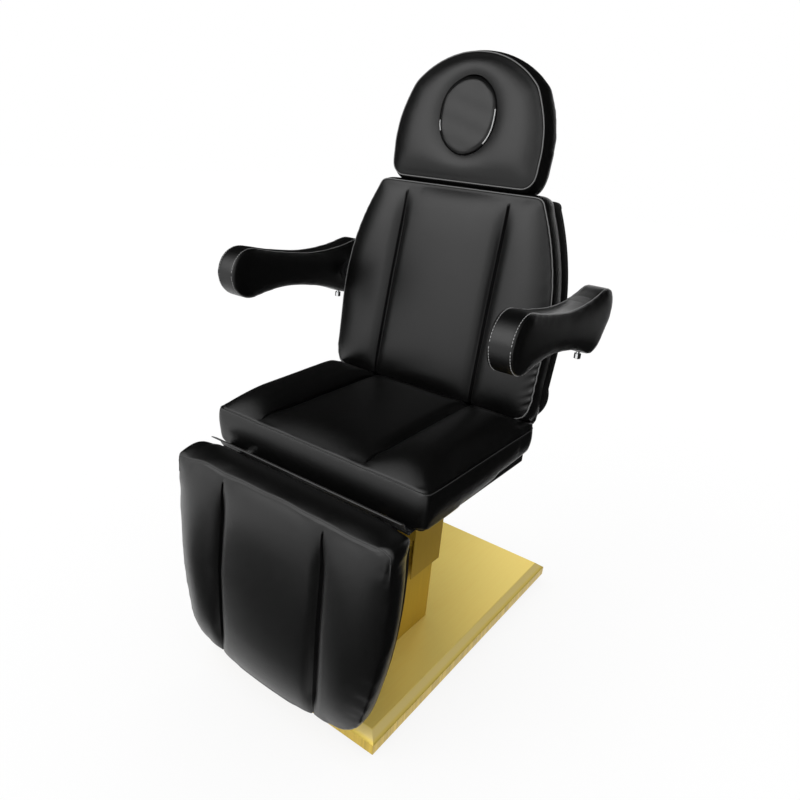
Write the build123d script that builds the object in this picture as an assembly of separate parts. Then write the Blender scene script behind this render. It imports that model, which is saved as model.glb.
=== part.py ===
from build123d import *
import os
from math import atan2, cos, degrees, hypot, radians, sin, sqrt

os.makedirs("parts", exist_ok=True)

# Electric tattoo chair, upright, at its lowest height. Millimetres, +Z up, floor at z = 0.
# The sitter looks along -Y, so the sitter's left is +X. Y counts from the middle of the footprint.

# Overall places
seat_front_y = -351.0
seat_width = 600.0
seat_depth = 479.0
seat_underside_z = 576.0
seat_top_seam_z = 652.0
back_lean_deg = 6.3
back_face_before_seat_rear = 65.0
back_face_from_seat_front = seat_depth - back_face_before_seat_rear
back_face_z = 691.0
overrun = 5.0
sliding_gap = 0.1
running_gap = 0.05
soft_gap = 0.6
weld_touch_gap = 0.3

# Base tray of bevelled sheet
base_width = 540.0
base_length = 890.0
base_front_from_seat_front = -60.0
foot_height = 14.0
base_edge_height = 26.0
base_bevel_inset = 22.0
base_top_z = 57.0
base_sheet = 2.0
foot_radius = 18.0
foot_neck_radius = 13.0
foot_inset = 36.0
foot_stud_radius = 6.0
base_tube_width = 40.0
base_tube_height = 25.0
tube_wall = 2.0

# Lifting column
column_center_from_seat_front = 304.0
column_rear_from_seat_front = 369.0
cover_sheet = 2.0
upper_cover_width = 275.0
upper_cover_front_from_seat_front = 238.0
upper_cover_bottom_z = 249.0
upper_cover_band_bottom_z = 362.0
upper_cover_band_height = 20.0
upper_cover_flange = 12.0
lower_cover_width = 248.0
lower_cover_inset = 9.0
lower_cover_step = 58.0
lower_cover_front_from_seat_front = upper_cover_front_from_seat_front - lower_cover_step
lower_cover_neck_front_from_seat_front = 250.0
lower_cover_slope_low_z = 223.0
lower_cover_slope_high_z = 335.0
lower_cover_top_z = 505.0
mast_outer_width = 90.0
mast_outer_wall = 4.0
mast_outer_top_z = 470.0
mast_inner_width = 76.0
mast_inner_wall = 3.0
mast_inner_bottom_z = 110.0
mast_flange_width = 210.0
mast_flange_depth = 100.0
mast_flange_thickness = 10.0
mast_bolt_spacing_x = 160.0
mast_bolt_spacing_y = 66.0
mast_bolt_radius = 6.0
mast_bolt_head_radius = 10.0
mast_bolt_head_height = 8.0
bolt_hole_gap = 0.5
glide_height = 40.0
lift_housing_radius = 30.0
lift_housing_top_z = 330.0
lift_rod_radius = 12.0
lift_rod_bottom_z = 160.0
lift_bore_radius = 16.0
lift_bush_height = 20.0
lift_cap_height = 24.0

# Mains inlet on the rear of the lower cover
inlet_width = 48.0
inlet_height = 28.0
inlet_depth = 24.0
inlet_lip = 3.0
inlet_lip_margin = 4.0
inlet_socket_width = 26.0
inlet_socket_height = 18.0
inlet_x = 85.0
inlet_z = 92.0
inlet_pin_radius = 1.6
inlet_pin_spacing = 7.0

# Seat frame
frame_tube_width = 40.0
frame_tube_height = 20.0
seat_rail_x = 200.0
seat_rail_front_from_seat_front = 10.0
seat_rail_rear_inset = 9.0
seat_rail_rear_from_seat_front = seat_depth - seat_rail_rear_inset
front_cross_from_seat_front = 110.0
middle_cross_from_seat_front = 245.0
rear_cross_from_seat_front = 365.0
crosshead_thickness = 8.0
crosshead_width = 270.0
crosshead_depth = 164.0
seat_board_thickness = 15.0
board_inset = 12.0
seat_corner_radius = 25.0
seat_side_draw = 6.0
seat_seam_draw = 3.0
seat_pillow_inset = 12.0
seat_top_inset = 62.0
seat_front_valley = 84.0
seat_valley_rise = 22.0
seat_panel_crown = 8.0
seat_edge_height = 79.0
seat_peak_height = 118.0
hinge_pin_head = 4.0
hinge_pin_head_margin = 3.0
control_box_width = 120.0
control_box_depth = 76.0
control_box_height = 42.0
control_box_radius = 4.0
control_socket_radius = 5.0
control_socket_depth = 6.0

# Leg rest
leg_pivot_from_seat_front = -20.0
leg_pivot_z = 560.0
leg_top_z = 566.0
leg_bottom_z = 83.0
leg_half_width = 294.0
leg_waist_half_width = 290.0
leg_waist_z = 343.0
leg_low_half_width = 257.0
leg_low_z = 144.0
leg_foot_half_width = 200.0
leg_foot_z = 104.0
leg_corner_half_width = 241.0
leg_corner_z = 116.0
leg_top_radius = 25.0
leg_board_thickness = 15.0
leg_foam_side = 76.0
leg_foam = 85.0
leg_panel_crown = 8.0
leg_edge_height = 79.0
leg_peak_height = 98.0
leg_side_draw = 5.0
leg_seam_draw = 3.0
leg_pillow_inset = 9.0
leg_top_inset = 42.0
leg_board_inset = 10.0
leg_notch_half_width = 18.0
leg_notch_depth = 28.0
leg_rail_x = 200.0
leg_rail_width = 20.0
leg_rail_top_z = 535.0
leg_rail_bottom_z = 160.0
leg_upper_cross_z = 450.0
leg_lower_cross_z = 210.0
leg_rod_travel = 87.0
leg_hub_radius = 9.0
leg_pin_radius = 5.0
leg_lug_thickness = 8.0
leg_ear_thickness = 7.5
leg_lug_height = 15.0

# Flap between the seat and the leg rest
flap_pivot_from_seat_front = -8.0
flap_pivot_z = 562.0
flap_lean_deg = 32.0
flap_length = 35.0
flap_width = 544.0
flap_thickness = 3.0
flap_bead_radius = 3.0
flap_rail_radius = 5.0
flap_tip_share = 0.9
flap_rail_flange = 44.0
flap_rail_sheet = 2.0
flap_hinge_gap = 34.0
flap_slot_front_deg = 66.0
flap_slot_rear_deg = 34.0

# Backrest, measured up its face from the foot of the face
back_pivot_behind_seat = 21.0
back_pivot_from_seat_front = seat_depth + back_pivot_behind_seat
back_pivot_z = 590.0
back_top_v = 493.0
back_bottom_v = -7.0
back_bottom_rear_v = -29.0
back_top_half_width = 232.0
back_shoulder_half_width = 284.0
back_shoulder_v = 330.0
back_half_width = 300.0
back_side_top_v = 178.0
back_side_low_half_width = 296.0
back_side_low_v = 60.0
back_corner_half_width = 285.0
back_corner_rise = 24.0
back_foot_half_width = 250.0
back_top_radius = 15.0
back_foam = 88.0
back_foam_side = 72.0
back_board_thickness = 14.0
back_rail_width = 25.0
back_rail_depth = 25.0
back_rail_top_v = 380.0
back_board_proud = 3.0
back_rail_bottom_v = -92.0
back_hub_radius = 15.0
back_hub_thickness = 8.0
back_pin_radius = 8.0
back_lug_thickness = 8.0
back_lug_radius = 16.0
back_low_cross_v = -42.0
back_high_cross_v = 262.0
back_side_draw = 6.0
back_seam_draw = 3.0
back_pillow_inset = 9.0
back_top_inset = 40.0
back_crown = 9.0
back_edge_height = 78.0
channel_x = 147.0
channel_depth = 8.0

# Headrest
head_bottom_v = 508.0
head_top_v = 793.0
head_height = head_top_v - head_bottom_v
head_foot_half_width = 165.0
head_corner_half_width = 187.0
head_corner_share = 0.0316
head_corner_v = head_bottom_v + head_corner_share * head_height
head_side_half_width = 197.0
head_side_low_share = 0.1193
head_side_low_v = head_bottom_v + head_side_low_share * head_height
head_side_high_share = 0.2877
head_side_high_v = head_bottom_v + head_side_high_share * head_height
head_half_width = 200.0
head_cheek_half_width = 190.0
head_cheek_share = 0.5439
head_cheek_v = head_bottom_v + head_cheek_share * head_height
head_brow_half_width = 165.0
head_brow_share = 0.7614
head_brow_v = head_bottom_v + head_brow_share * head_height
head_foam = 66.0
head_foam_side = 50.0
head_board_thickness = 12.0
head_rod_radius = 6.0
head_rod_x = 60.0
head_rod_bottom_v = 296.0
head_rod_top_v = 640.0
head_sleeve_radius = 10.0
head_sleeve_bottom_v = 402.0
head_sleeve_length = 70.0
head_sleeve_plate = 3.0
head_sleeve_plate_margin = 16.0
head_sleeve_sink = 2.0
head_mount_bottom_v = 545.0
head_mount_height = 90.0
head_mount_half_width = 12.0
head_mount_web = 6.0
head_side_draw = 5.0
head_seam_draw = 2.0
head_pillow_inset = 9.0
head_top_inset = 36.0
head_peak_height = 72.0
knob_radius = 16.0
knob_thickness = 14.0
knob_lobe_radius = 5.0
knob_lobe_out_share = 0.333
knob_lobes = 6
knob_stem_length = 14.0
knob_stem_radius = 4.0
knob_v = 437.0
face_hole_share = 0.5158
face_hole_v = head_bottom_v + face_hole_share * head_height
face_hole_half_width = 75.0
face_hole_half_height_share = 0.3088
face_hole_half_height = face_hole_half_height_share * head_height
face_plug_gap = 3.0
face_ledge = 10.0
face_plug_crown = 5.0
face_plug_dome_inset = 9.0
face_plug_spigot_gap = 1.5

# Armrests
arm_inner_x = 334.5
arm_thickness = 61.0
arm_pivot_behind_back_face = 76.0
arm_pivot_from_seat_front = back_face_from_seat_front + arm_pivot_behind_back_face
arm_pivot_z = 925.0
arm_reach = 350.0
arm_nose_from_seat_front = arm_pivot_from_seat_front - arm_reach
arm_nose_z = 948.0
arm_nose_radius = 60.0
arm_heel_high_behind_pivot = 28.0
arm_heel_high_from_seat_front = arm_pivot_from_seat_front + arm_heel_high_behind_pivot
arm_heel_high_z = 953.0
arm_heel_low_behind_pivot = 2.0
arm_heel_low_from_seat_front = arm_pivot_from_seat_front + arm_heel_low_behind_pivot
arm_heel_low_z = 916.0
arm_heel_radius = 52.0
arm_heel_arc_share = 0.25
arm_top_hollow_radius = 826.0
arm_bottom_hollow_radius = 541.0
arm_edge_radius = 8.0
arm_stub_radius = 12.5
arm_stub_tip_gap = 2.0
arm_hub_radius = 20.0
arm_hub_length = 46.0
arm_hub_flange_radius = 27.0
arm_hub_flange = 3.0
arm_screw_radius = 4.0
arm_screw_head_radius = 8.0
arm_screw_head_height = 13.0
arm_screw_show = 8.0
arm_screw_chamfer = 1.0
arm_bracket_thickness = 6.0
arm_bracket_x = 312.0
arm_bracket_height = 44.0

# Linear actuators under the seat
actuator_x = 162.0
actuator_z = 486.0
actuator_radius = 23.0
actuator_nose_radius = 17.0
actuator_nose_length = 30.0
actuator_eye_radius = 13.0
actuator_eye_width = 18.0
actuator_pin_radius = 5.0
actuator_rod_radius = 10.0
actuator_bore_radius = 13.0
actuator_rod_overlap = 40.0
actuator_bracket_sheet = 4.0
actuator_bracket_length = 34.0
rod_end_wall = 6.0
rod_end_width = 16.0
slot_corner_radius = 3.0
back_crank_length = 75.0
back_crank_rest_deg = 42.0
leg_crank_length = 60.0
leg_crank_rest_deg = 35.0
crank_sheet = 5.0
crank_gap = 1.0
crank_pin_radius = 5.0
crank_boss_radius = 11.0
slot_half_length = 18.5
slot_half_width = 7.5
back_slot_offset = -1.8
leg_slot_offset = 2.3
back_actuator_body = 300.0
leg_actuator_shorter = 30.0
leg_actuator_body = back_actuator_body - leg_actuator_shorter


# Places worked out from the sizes above
def from_front(distance):
    return seat_front_y + distance


board_top_z = seat_underside_z
frame_top_z = seat_underside_z - seat_board_thickness
frame_bottom_z = frame_top_z - frame_tube_height
crosshead_bottom_z = frame_bottom_z - crosshead_thickness
tray_bottom_z = foot_height
tray_inside_z = base_top_z - base_sheet
base_frame_bottom_z = tray_inside_z - base_tube_height
base_center_y = from_front(base_front_from_seat_front) + base_length / 2
column_y = from_front(column_center_from_seat_front)
leg_pivot_y = from_front(leg_pivot_from_seat_front)
leg_board_front_y = leg_pivot_y - leg_board_thickness
leg_plane = Plane(origin=(0, leg_board_front_y, 0), x_dir=(1, 0, 0), z_dir=(0, -1, 0))
back_pivot_y = from_front(back_pivot_from_seat_front)
arm_pivot_y = from_front(arm_pivot_from_seat_front)
lean_sin = sin(radians(back_lean_deg))
lean_cos = cos(radians(back_lean_deg))
back_plane = Plane(
    origin=(0, from_front(back_face_from_seat_front), back_face_z),
    x_dir=(1, 0, 0),
    z_dir=(0, -lean_cos, lean_sin),
)
seat_rail_outer_x = seat_rail_x + frame_tube_width / 2
back_board_rear_w = -back_foam - back_board_thickness
back_rail_rear_w = back_board_rear_w - back_rail_depth
back_hub_x = seat_rail_outer_x + back_lug_thickness + weld_touch_gap
back_rail_inner_x = back_hub_x + back_hub_thickness
head_board_front_w = -head_foam
head_board_rear_w = head_board_front_w - head_board_thickness
head_rod_w = back_board_rear_w - head_sleeve_plate - head_sleeve_radius + head_sleeve_sink
arm_middle_x = arm_inner_x + arm_thickness / 2
arm_bottom_z = arm_heel_low_z - arm_heel_radius


# Shapes used by many pieces
def block(x0, x1, y0, y1, z0, z1):
    middle = Pos((x0 + x1) / 2, (y0 + y1) / 2, (z0 + z1) / 2)
    return middle * Box(x1 - x0, y1 - y0, z1 - z0)


def rod_x(x0, x1, y, z, radius):
    return Pos((x0 + x1) / 2, y, z) * Rot(0, 90, 0) * Cylinder(radius, x1 - x0)


def rod_y(x, y0, y1, z, radius):
    return Pos(x, (y0 + y1) / 2, z) * Rot(90, 0, 0) * Cylinder(radius, y1 - y0)


def rod_z(x, y, z0, z1, radius):
    return Pos(x, y, (z0 + z1) / 2) * Cylinder(radius, z1 - z0)


def side_prism(outline_yz, x0, x1):
    face = make_face(Polyline(*[(0, y, z) for y, z in outline_yz], close=True))
    return Pos(x0, 0, 0) * extrude(face, amount=x1 - x0, dir=(1, 0, 0))


def hollow_tube(x0, x1, y0, y1, z0, z1, along, wall):
    outside = block(x0, x1, y0, y1, z0, z1)
    if along == "x":
        inside = block(x0 - overrun, x1 + overrun, y0 + wall, y1 - wall, z0 + wall, z1 - wall)
    elif along == "y":
        inside = block(x0 + wall, x1 - wall, y0 - overrun, y1 + overrun, z0 + wall, z1 - wall)
    else:
        inside = block(x0 + wall, x1 - wall, y0 + wall, y1 - wall, z0 - overrun, z1 + overrun)
    return outside - inside


def ordered(side, a, b):
    return (min(side * a, side * b), max(side * a, side * b))


def on_back(v, w):
    y = from_front(back_face_from_seat_front) + v * lean_sin - w * lean_cos
    z = back_face_z + v * lean_cos + w * lean_sin
    return (y, z)


def save(name, shape):
    if isinstance(shape, (list, tuple)):
        shape = Compound(children=[piece for item in shape for piece in item.solids()])
    shape.label = name
    export_step(shape, "parts/" + name + ".step")
    return shape


# Base: tray, inner frame, feet
def tray_form(width, length, edge_top, top, inset):
    low = Rectangle(width, length)
    high = Rectangle(width - 2 * inset, length - 2 * inset)
    skirt = Pos(0, base_center_y, tray_bottom_z) * extrude(low, amount=edge_top - tray_bottom_z)
    bevel = loft([Pos(0, base_center_y, edge_top) * low, Pos(0, base_center_y, top) * high])
    return skirt + bevel


def mast_bolt_places():
    for sx in (-1, 1):
        for sy in (-1, 1):
            yield (sx * mast_bolt_spacing_x / 2, column_y + sy * mast_bolt_spacing_y / 2)


def foot_places():
    x = base_width / 2 - foot_inset
    y = base_length / 2 - foot_inset
    for sx in (-1, 1):
        for sy in (-1, 1):
            yield (sx * x, base_center_y + sy * y)


def make_base_tray():
    edge_top = tray_bottom_z + base_edge_height
    outer = tray_form(base_width, base_length, edge_top, base_top_z, base_bevel_inset)
    inner = tray_form(
        base_width - 2 * base_sheet,
        base_length - 2 * base_sheet,
        edge_top,
        tray_inside_z,
        base_bevel_inset,
    )
    tray = outer - inner
    for x, y in mast_bolt_places():
        tray -= rod_z(x, y, tray_inside_z - overrun, base_top_z + overrun, mast_bolt_radius + bolt_hole_gap)
    return tray


def make_base_frame():
    inset = base_bevel_inset + base_sheet + bolt_hole_gap
    half = base_length / 2 - inset
    rail_out = base_width / 2 - inset
    rail_in = rail_out - base_tube_width
    tubes = []
    for side in (-1, 1):
        x0, x1 = ordered(side, rail_in, rail_out)
        tubes.append(hollow_tube(
            x0, x1, base_center_y - half, base_center_y + half,
            base_frame_bottom_z, tray_inside_z, "y", tube_wall,
        ))
    spans = [
        (base_center_y - half, base_center_y - half + base_tube_width),
        (base_center_y + half - base_tube_width, base_center_y + half),
    ]
    for side in (-1, 1):
        y = column_y + side * mast_bolt_spacing_y / 2
        spans.append((y - mast_bolt_spacing_y / 4, y + mast_bolt_spacing_y / 4))
    for y0, y1 in spans:
        tubes.append(hollow_tube(
            -rail_in, rail_in, y0, y1, base_frame_bottom_z, tray_inside_z, "x", tube_wall
        ))
    drilled = []
    for tube in tubes:
        for x, y in mast_bolt_places():
            tube = tube - rod_z(
                x, y, base_frame_bottom_z - overrun, tray_inside_z + overrun, mast_bolt_radius + bolt_hole_gap
            )
        drilled.append(tube)
    return drilled


def make_feet():
    feet = []
    for x, y in foot_places():
        pad = loft([
            Pos(x, y, 0) * Circle(foot_radius),
            Pos(x, y, foot_height) * Circle(foot_neck_radius),
        ])
        feet.append(pad)
    return feet


def make_foot_studs():
    return [rod_z(x, y, foot_height, base_frame_bottom_z, foot_stud_radius) for x, y in foot_places()]


# Column: covers, telescopic mast, lift actuator
def make_lower_cover():
    rear = from_front(column_rear_from_seat_front - lower_cover_inset)
    front = from_front(lower_cover_front_from_seat_front)
    neck = from_front(lower_cover_neck_front_from_seat_front)
    outline = [
        (front, base_top_z),
        (front, lower_cover_slope_low_z),
        (neck, lower_cover_slope_high_z),
        (neck, lower_cover_top_z),
        (rear, lower_cover_top_z),
        (rear, base_top_z),
    ]
    half = lower_cover_width / 2
    outer = side_prism(outline, -half, half)
    sheet = cover_sheet
    inside = [
        (front + sheet, base_top_z - overrun),
        (front + sheet, lower_cover_slope_low_z),
        (neck + sheet, lower_cover_slope_high_z),
        (neck + sheet, lower_cover_top_z + overrun),
        (rear - sheet, lower_cover_top_z + overrun),
        (rear - sheet, base_top_z - overrun),
    ]
    shell = outer - side_prism(inside, -half + sheet, half - sheet)
    cutout = block(
        inlet_x - inlet_width / 2, inlet_x + inlet_width / 2, rear - overrun, rear + overrun,
        inlet_z - inlet_height / 2, inlet_z + inlet_height / 2,
    )
    return shell - cutout


def make_upper_cover():
    front = from_front(upper_cover_front_from_seat_front)
    rear = from_front(column_rear_from_seat_front)
    half = upper_cover_width / 2
    top = crosshead_bottom_z
    shell = hollow_tube(-half, half, front, rear, upper_cover_bottom_z, top, "z", cover_sheet)
    band_top = upper_cover_band_bottom_z + upper_cover_band_height
    opening = half - upper_cover_flange
    shell -= block(-opening, opening, front - overrun, front + overrun, band_top, top + overrun)
    skirt = half - cover_sheet
    shell -= block(
        -skirt, skirt, front - overrun, front + overrun,
        upper_cover_bottom_z - overrun, upper_cover_band_bottom_z,
    )
    return shell


def make_mast_outer():
    half = mast_outer_width / 2
    flange_top = base_top_z + mast_flange_thickness
    tube = hollow_tube(
        -half, half, column_y - half, column_y + half, flange_top, mast_outer_top_z, "z", mast_outer_wall
    )
    flange = block(
        -mast_flange_width / 2, mast_flange_width / 2,
        column_y - mast_flange_depth / 2, column_y + mast_flange_depth / 2,
        base_top_z, flange_top,
    )
    mast = tube + flange
    for x, y in mast_bolt_places():
        mast -= rod_z(x, y, base_top_z - overrun, flange_top + overrun, mast_bolt_radius + bolt_hole_gap)
    return mast


def make_mast_bolts():
    bolts = []
    flange_top = base_top_z + mast_flange_thickness
    for x, y in mast_bolt_places():
        shank = rod_z(x, y, base_frame_bottom_z, flange_top, mast_bolt_radius)
        hexagon = RegularPolygon(mast_bolt_head_radius, 6)
        head = Pos(x, y, flange_top) * extrude(hexagon, amount=mast_bolt_head_height)
        bolts.append(shank + head)
    return bolts


def make_mast_glides():
    inner_half = mast_outer_width / 2 - mast_outer_wall
    pad = inner_half - mast_inner_width / 2 - sliding_gap
    reach = mast_inner_width / 2 - pad
    z0 = mast_outer_top_z - glide_height
    z1 = mast_outer_top_z
    pads = []
    for side in (-1, 1):
        x0, x1 = ordered(side, inner_half - pad, inner_half)
        pads.append(block(x0, x1, column_y - reach, column_y + reach, z0, z1))
        y0, y1 = ordered(side, inner_half - pad, inner_half)
        pads.append(block(-reach, reach, column_y + y0, column_y + y1, z0, z1))
    return pads


def make_mast_inner():
    half = mast_inner_width / 2
    return hollow_tube(
        -half, half, column_y - half, column_y + half,
        mast_inner_bottom_z, crosshead_bottom_z, "z", mast_inner_wall,
    )


def make_lift_housing():
    bottom = base_top_z + mast_flange_thickness
    body = rod_z(0, column_y, bottom, lift_housing_top_z, lift_housing_radius)
    neck = lift_housing_radius - inlet_lip
    cap_z = lift_housing_top_z - lift_cap_height
    body -= rod_z(0, column_y, cap_z, lift_housing_top_z, lift_housing_radius)
    body += rod_z(0, column_y, cap_z, lift_housing_top_z, neck)
    bush_z = lift_housing_top_z - lift_bush_height
    bore = rod_z(0, column_y, bottom + lift_cap_height, bush_z, lift_bore_radius)
    mouth = rod_z(
        0, column_y, lift_housing_top_z - lift_bush_height - overrun,
        lift_housing_top_z + overrun, lift_rod_radius + running_gap,
    )
    return body - bore - mouth


def make_lift_rod():
    return rod_z(0, column_y, lift_rod_bottom_z, crosshead_bottom_z, lift_rod_radius)


def make_mains_inlet():
    rear = from_front(column_rear_from_seat_front - lower_cover_inset)
    w = inlet_width / 2 - bolt_hole_gap
    h = inlet_height / 2 - bolt_hole_gap
    body = block(-w, w, rear - inlet_depth, rear, inlet_z - h, inlet_z + h)
    m = inlet_lip_margin
    lip = block(-w - m, w + m, rear, rear + inlet_lip, inlet_z - h - m, inlet_z + h + m)
    socket = block(
        -inlet_socket_width / 2, inlet_socket_width / 2,
        rear + inlet_lip - inlet_socket_height, rear + inlet_lip + overrun,
        inlet_z - inlet_socket_height / 2, inlet_z + inlet_socket_height / 2,
    )
    inlet = body + lip - socket
    for step in (-1, 0, 1):
        pin = Pos(step * inlet_pin_spacing, rear - inlet_socket_height / 2 + inlet_lip / 2, inlet_z)
        inlet += pin * Rot(90, 0, 0) * Cylinder(inlet_pin_radius, inlet_socket_height - inlet_lip)
    return Pos(inlet_x, 0, 0) * inlet


# Seat: frame, crosshead, board, cushion
def make_crosshead():
    return block(
        -crosshead_width / 2, crosshead_width / 2,
        column_y - crosshead_depth / 2, column_y + crosshead_depth / 2,
        crosshead_bottom_z, frame_bottom_z,
    )


def back_lug_shape(side):
    x0, x1 = ordered(side, seat_rail_outer_x, seat_rail_outer_x + back_lug_thickness)
    tip = back_lug_radius
    corner_y = from_front(seat_depth) - tip / 2
    outline = [
        (from_front(rear_cross_from_seat_front), frame_bottom_z),
        (from_front(rear_cross_from_seat_front), frame_top_z - soft_gap),
        (corner_y, frame_top_z - soft_gap),
        (back_pivot_y - tip, back_pivot_z),
        (back_pivot_y + tip, back_pivot_z),
        (from_front(seat_rail_rear_from_seat_front) + tip, frame_bottom_z),
    ]
    plate = side_prism(outline, x0, x1) + rod_x(x0, x1, back_pivot_y, back_pivot_z, tip)
    hole = rod_x(x0 - overrun, x1 + overrun, back_pivot_y, back_pivot_z, back_pin_radius + running_gap)
    return plate - hole


def leg_lug_shape(side):
    x0, x1 = ordered(side, leg_rail_x - leg_lug_thickness / 2, leg_rail_x + leg_lug_thickness / 2)
    start = from_front(seat_rail_front_from_seat_front)
    outline = [
        (start, frame_bottom_z),
        (start, frame_bottom_z + leg_lug_height),
        (leg_pivot_y + leg_hub_radius, frame_bottom_z + leg_lug_height),
        (leg_pivot_y, leg_pivot_z),
        (leg_pivot_y, leg_pivot_z - leg_hub_radius),
        (leg_pivot_y + leg_hub_radius, frame_bottom_z),
    ]
    plate = side_prism(outline, x0, x1) + rod_x(x0, x1, leg_pivot_y, leg_pivot_z, leg_hub_radius)
    hole = rod_x(x0 - overrun, x1 + overrun, leg_pivot_y, leg_pivot_z, leg_pin_radius + running_gap)
    return plate - hole


def actuator_bracket(x, y):
    gap = actuator_eye_width / 2 + crank_gap / 2
    sheet = actuator_bracket_sheet
    half = actuator_bracket_length / 2
    ears = []
    for side in (-1, 1):
        x0, x1 = ordered(side, gap, gap + sheet)
        ear = block(x + x0, x + x1, y - half, y + half, actuator_z, frame_bottom_z)
        ear += rod_x(x + x0, x + x1, y, actuator_z, actuator_eye_radius)
        ear -= rod_x(x + x0 - overrun, x + x1 + overrun, y, actuator_z, actuator_pin_radius + running_gap)
        ears.append(ear)
    return ears


def make_seat_frame():
    half = frame_tube_width / 2
    front = from_front(seat_rail_front_from_seat_front)
    rear = from_front(seat_rail_rear_from_seat_front)
    inner = seat_rail_x - half
    pieces = []
    for side in (-1, 1):
        x0, x1 = ordered(side, inner, seat_rail_outer_x)
        pieces.append(hollow_tube(x0, x1, front, rear, frame_bottom_z, frame_top_z, "y", tube_wall))
    for distance in (front_cross_from_seat_front, middle_cross_from_seat_front, rear_cross_from_seat_front):
        y = from_front(distance)
        pieces.append(hollow_tube(
            -inner, inner, y - half, y + half, frame_bottom_z, frame_top_z, "x", tube_wall
        ))
    return pieces


def make_seat_lugs():
    return [
        back_lug_shape(-1), back_lug_shape(1), leg_lug_shape(-1), leg_lug_shape(1),
        *actuator_bracket(actuator_x, from_front(front_cross_from_seat_front)),
        *actuator_bracket(-actuator_x, from_front(rear_cross_from_seat_front)),
    ]


def make_seat_board():
    half = seat_width / 2 - board_inset
    board = block(
        -half, half, from_front(board_inset), from_front(seat_depth - board_inset), frame_top_z, board_top_z
    )
    board = fillet(board.edges().filter_by(Axis.Z), board_inset)
    notch = slot_half_length + rod_end_wall + board_inset
    y0 = from_front(seat_depth - board_inset - notch)
    board -= block(
        actuator_x - notch, actuator_x + notch, y0, from_front(seat_depth),
        frame_top_z - overrun, board_top_z + overrun,
    )
    return board


def panel_profile(half_width, edge, valley, ridge):
    bottom = (half_width + overrun, -overrun)
    left = (-half_width, edge)
    right = (half_width, edge)
    vl = (-channel_x, valley)
    vr = (channel_x, valley)
    side_mid = (half_width + channel_x) / 2
    lines = [
        Line((-bottom[0], bottom[1]), (bottom[0], bottom[1])),
        Line((bottom[0], bottom[1]), (bottom[0], edge)),
        Line((bottom[0], edge), right),
        ThreePointArc(right, (side_mid, (edge + ridge) / 2 + (ridge - valley) / 2), vr),
        ThreePointArc(vr, (0, ridge), vl),
        ThreePointArc(vl, (-side_mid, (edge + ridge) / 2 + (ridge - valley) / 2), left),
        Line(left, (-bottom[0], edge)),
        Line((-bottom[0], edge), (-bottom[0], bottom[1])),
    ]
    return make_face(lines)


def seat_section(inset):
    return RectangleRounded(seat_width - 2 * inset, seat_depth - 2 * inset, seat_corner_radius)


def make_seat_cushion():
    side = seat_top_seam_z - seat_underside_z
    lower = loft([
        seat_section(seat_side_draw),
        Pos(0, 0, side / 2) * seat_section(0),
        Pos(0, 0, side) * seat_section(seat_seam_draw),
    ])
    pillow = (side + seat_peak_height) / 2
    upper = loft([
        Pos(0, 0, side) * seat_section(seat_seam_draw),
        Pos(0, 0, pillow) * seat_section(seat_pillow_inset),
        Pos(0, 0, seat_peak_height) * seat_section(seat_top_inset),
    ])
    profile = panel_profile(
        seat_width / 2 + overrun, seat_edge_height, seat_front_valley, seat_front_valley + seat_panel_crown
    )
    tilt = degrees(atan2(seat_valley_rise, seat_depth))
    bar = extrude(Plane.XZ * profile, amount=-seat_depth * 2)
    bar = Pos(0, -seat_depth / 2, 0) * Rot(tilt, 0, 0) * Pos(0, -seat_depth / 2, 0) * bar
    body = (lower + upper) & bar
    body = body & block(-seat_width, seat_width, -seat_depth, seat_depth, 0, seat_peak_height + overrun)
    body = Pos(0, from_front(seat_depth / 2), seat_underside_z) * body
    pressed = [
        on_back(back_bottom_v - soft_gap, 0),
        on_back(back_bottom_rear_v - soft_gap, -back_foam),
        on_back(back_bottom_v + back_foam, -back_foam),
        on_back(back_bottom_v + back_foam, back_foam),
        on_back(2 * back_bottom_v - back_bottom_rear_v - soft_gap, back_foam),
    ]
    return body - side_prism(pressed, -seat_width, seat_width)


def headed_pin(side, head_x, tip_x, y, z, radius):
    x0, x1 = ordered(side, head_x, tip_x)
    head_x0, head_x1 = ordered(side, head_x, head_x + hinge_pin_head)
    return rod_x(x0, x1, y, z, radius) + rod_x(head_x0, head_x1, y, z, radius + hinge_pin_head_margin)


def make_back_hinge_pins():
    head_x = seat_rail_outer_x - hinge_pin_head
    tip_x = back_rail_inner_x - weld_touch_gap
    return [
        headed_pin(side, head_x, tip_x, back_pivot_y, back_pivot_z, back_pin_radius)
        for side in (-1, 1)
    ]


def make_leg_hinge_pins():
    reach = leg_lug_thickness / 2 + weld_touch_gap + leg_ear_thickness + weld_touch_gap
    head_x = leg_rail_x - reach - hinge_pin_head
    return [
        headed_pin(side, head_x, leg_rail_x + reach, leg_pivot_y, leg_pivot_z, leg_pin_radius)
        for side in (-1, 1)
    ]


def make_actuator_rear_pins():
    reach = actuator_eye_width / 2 + crank_gap / 2 + actuator_bracket_sheet
    head_x = actuator_x - reach - hinge_pin_head
    places = ((1, front_cross_from_seat_front), (-1, rear_cross_from_seat_front))
    return [
        headed_pin(side, head_x, actuator_x + reach, from_front(distance), actuator_z, actuator_pin_radius)
        for side, distance in places
    ]


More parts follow.
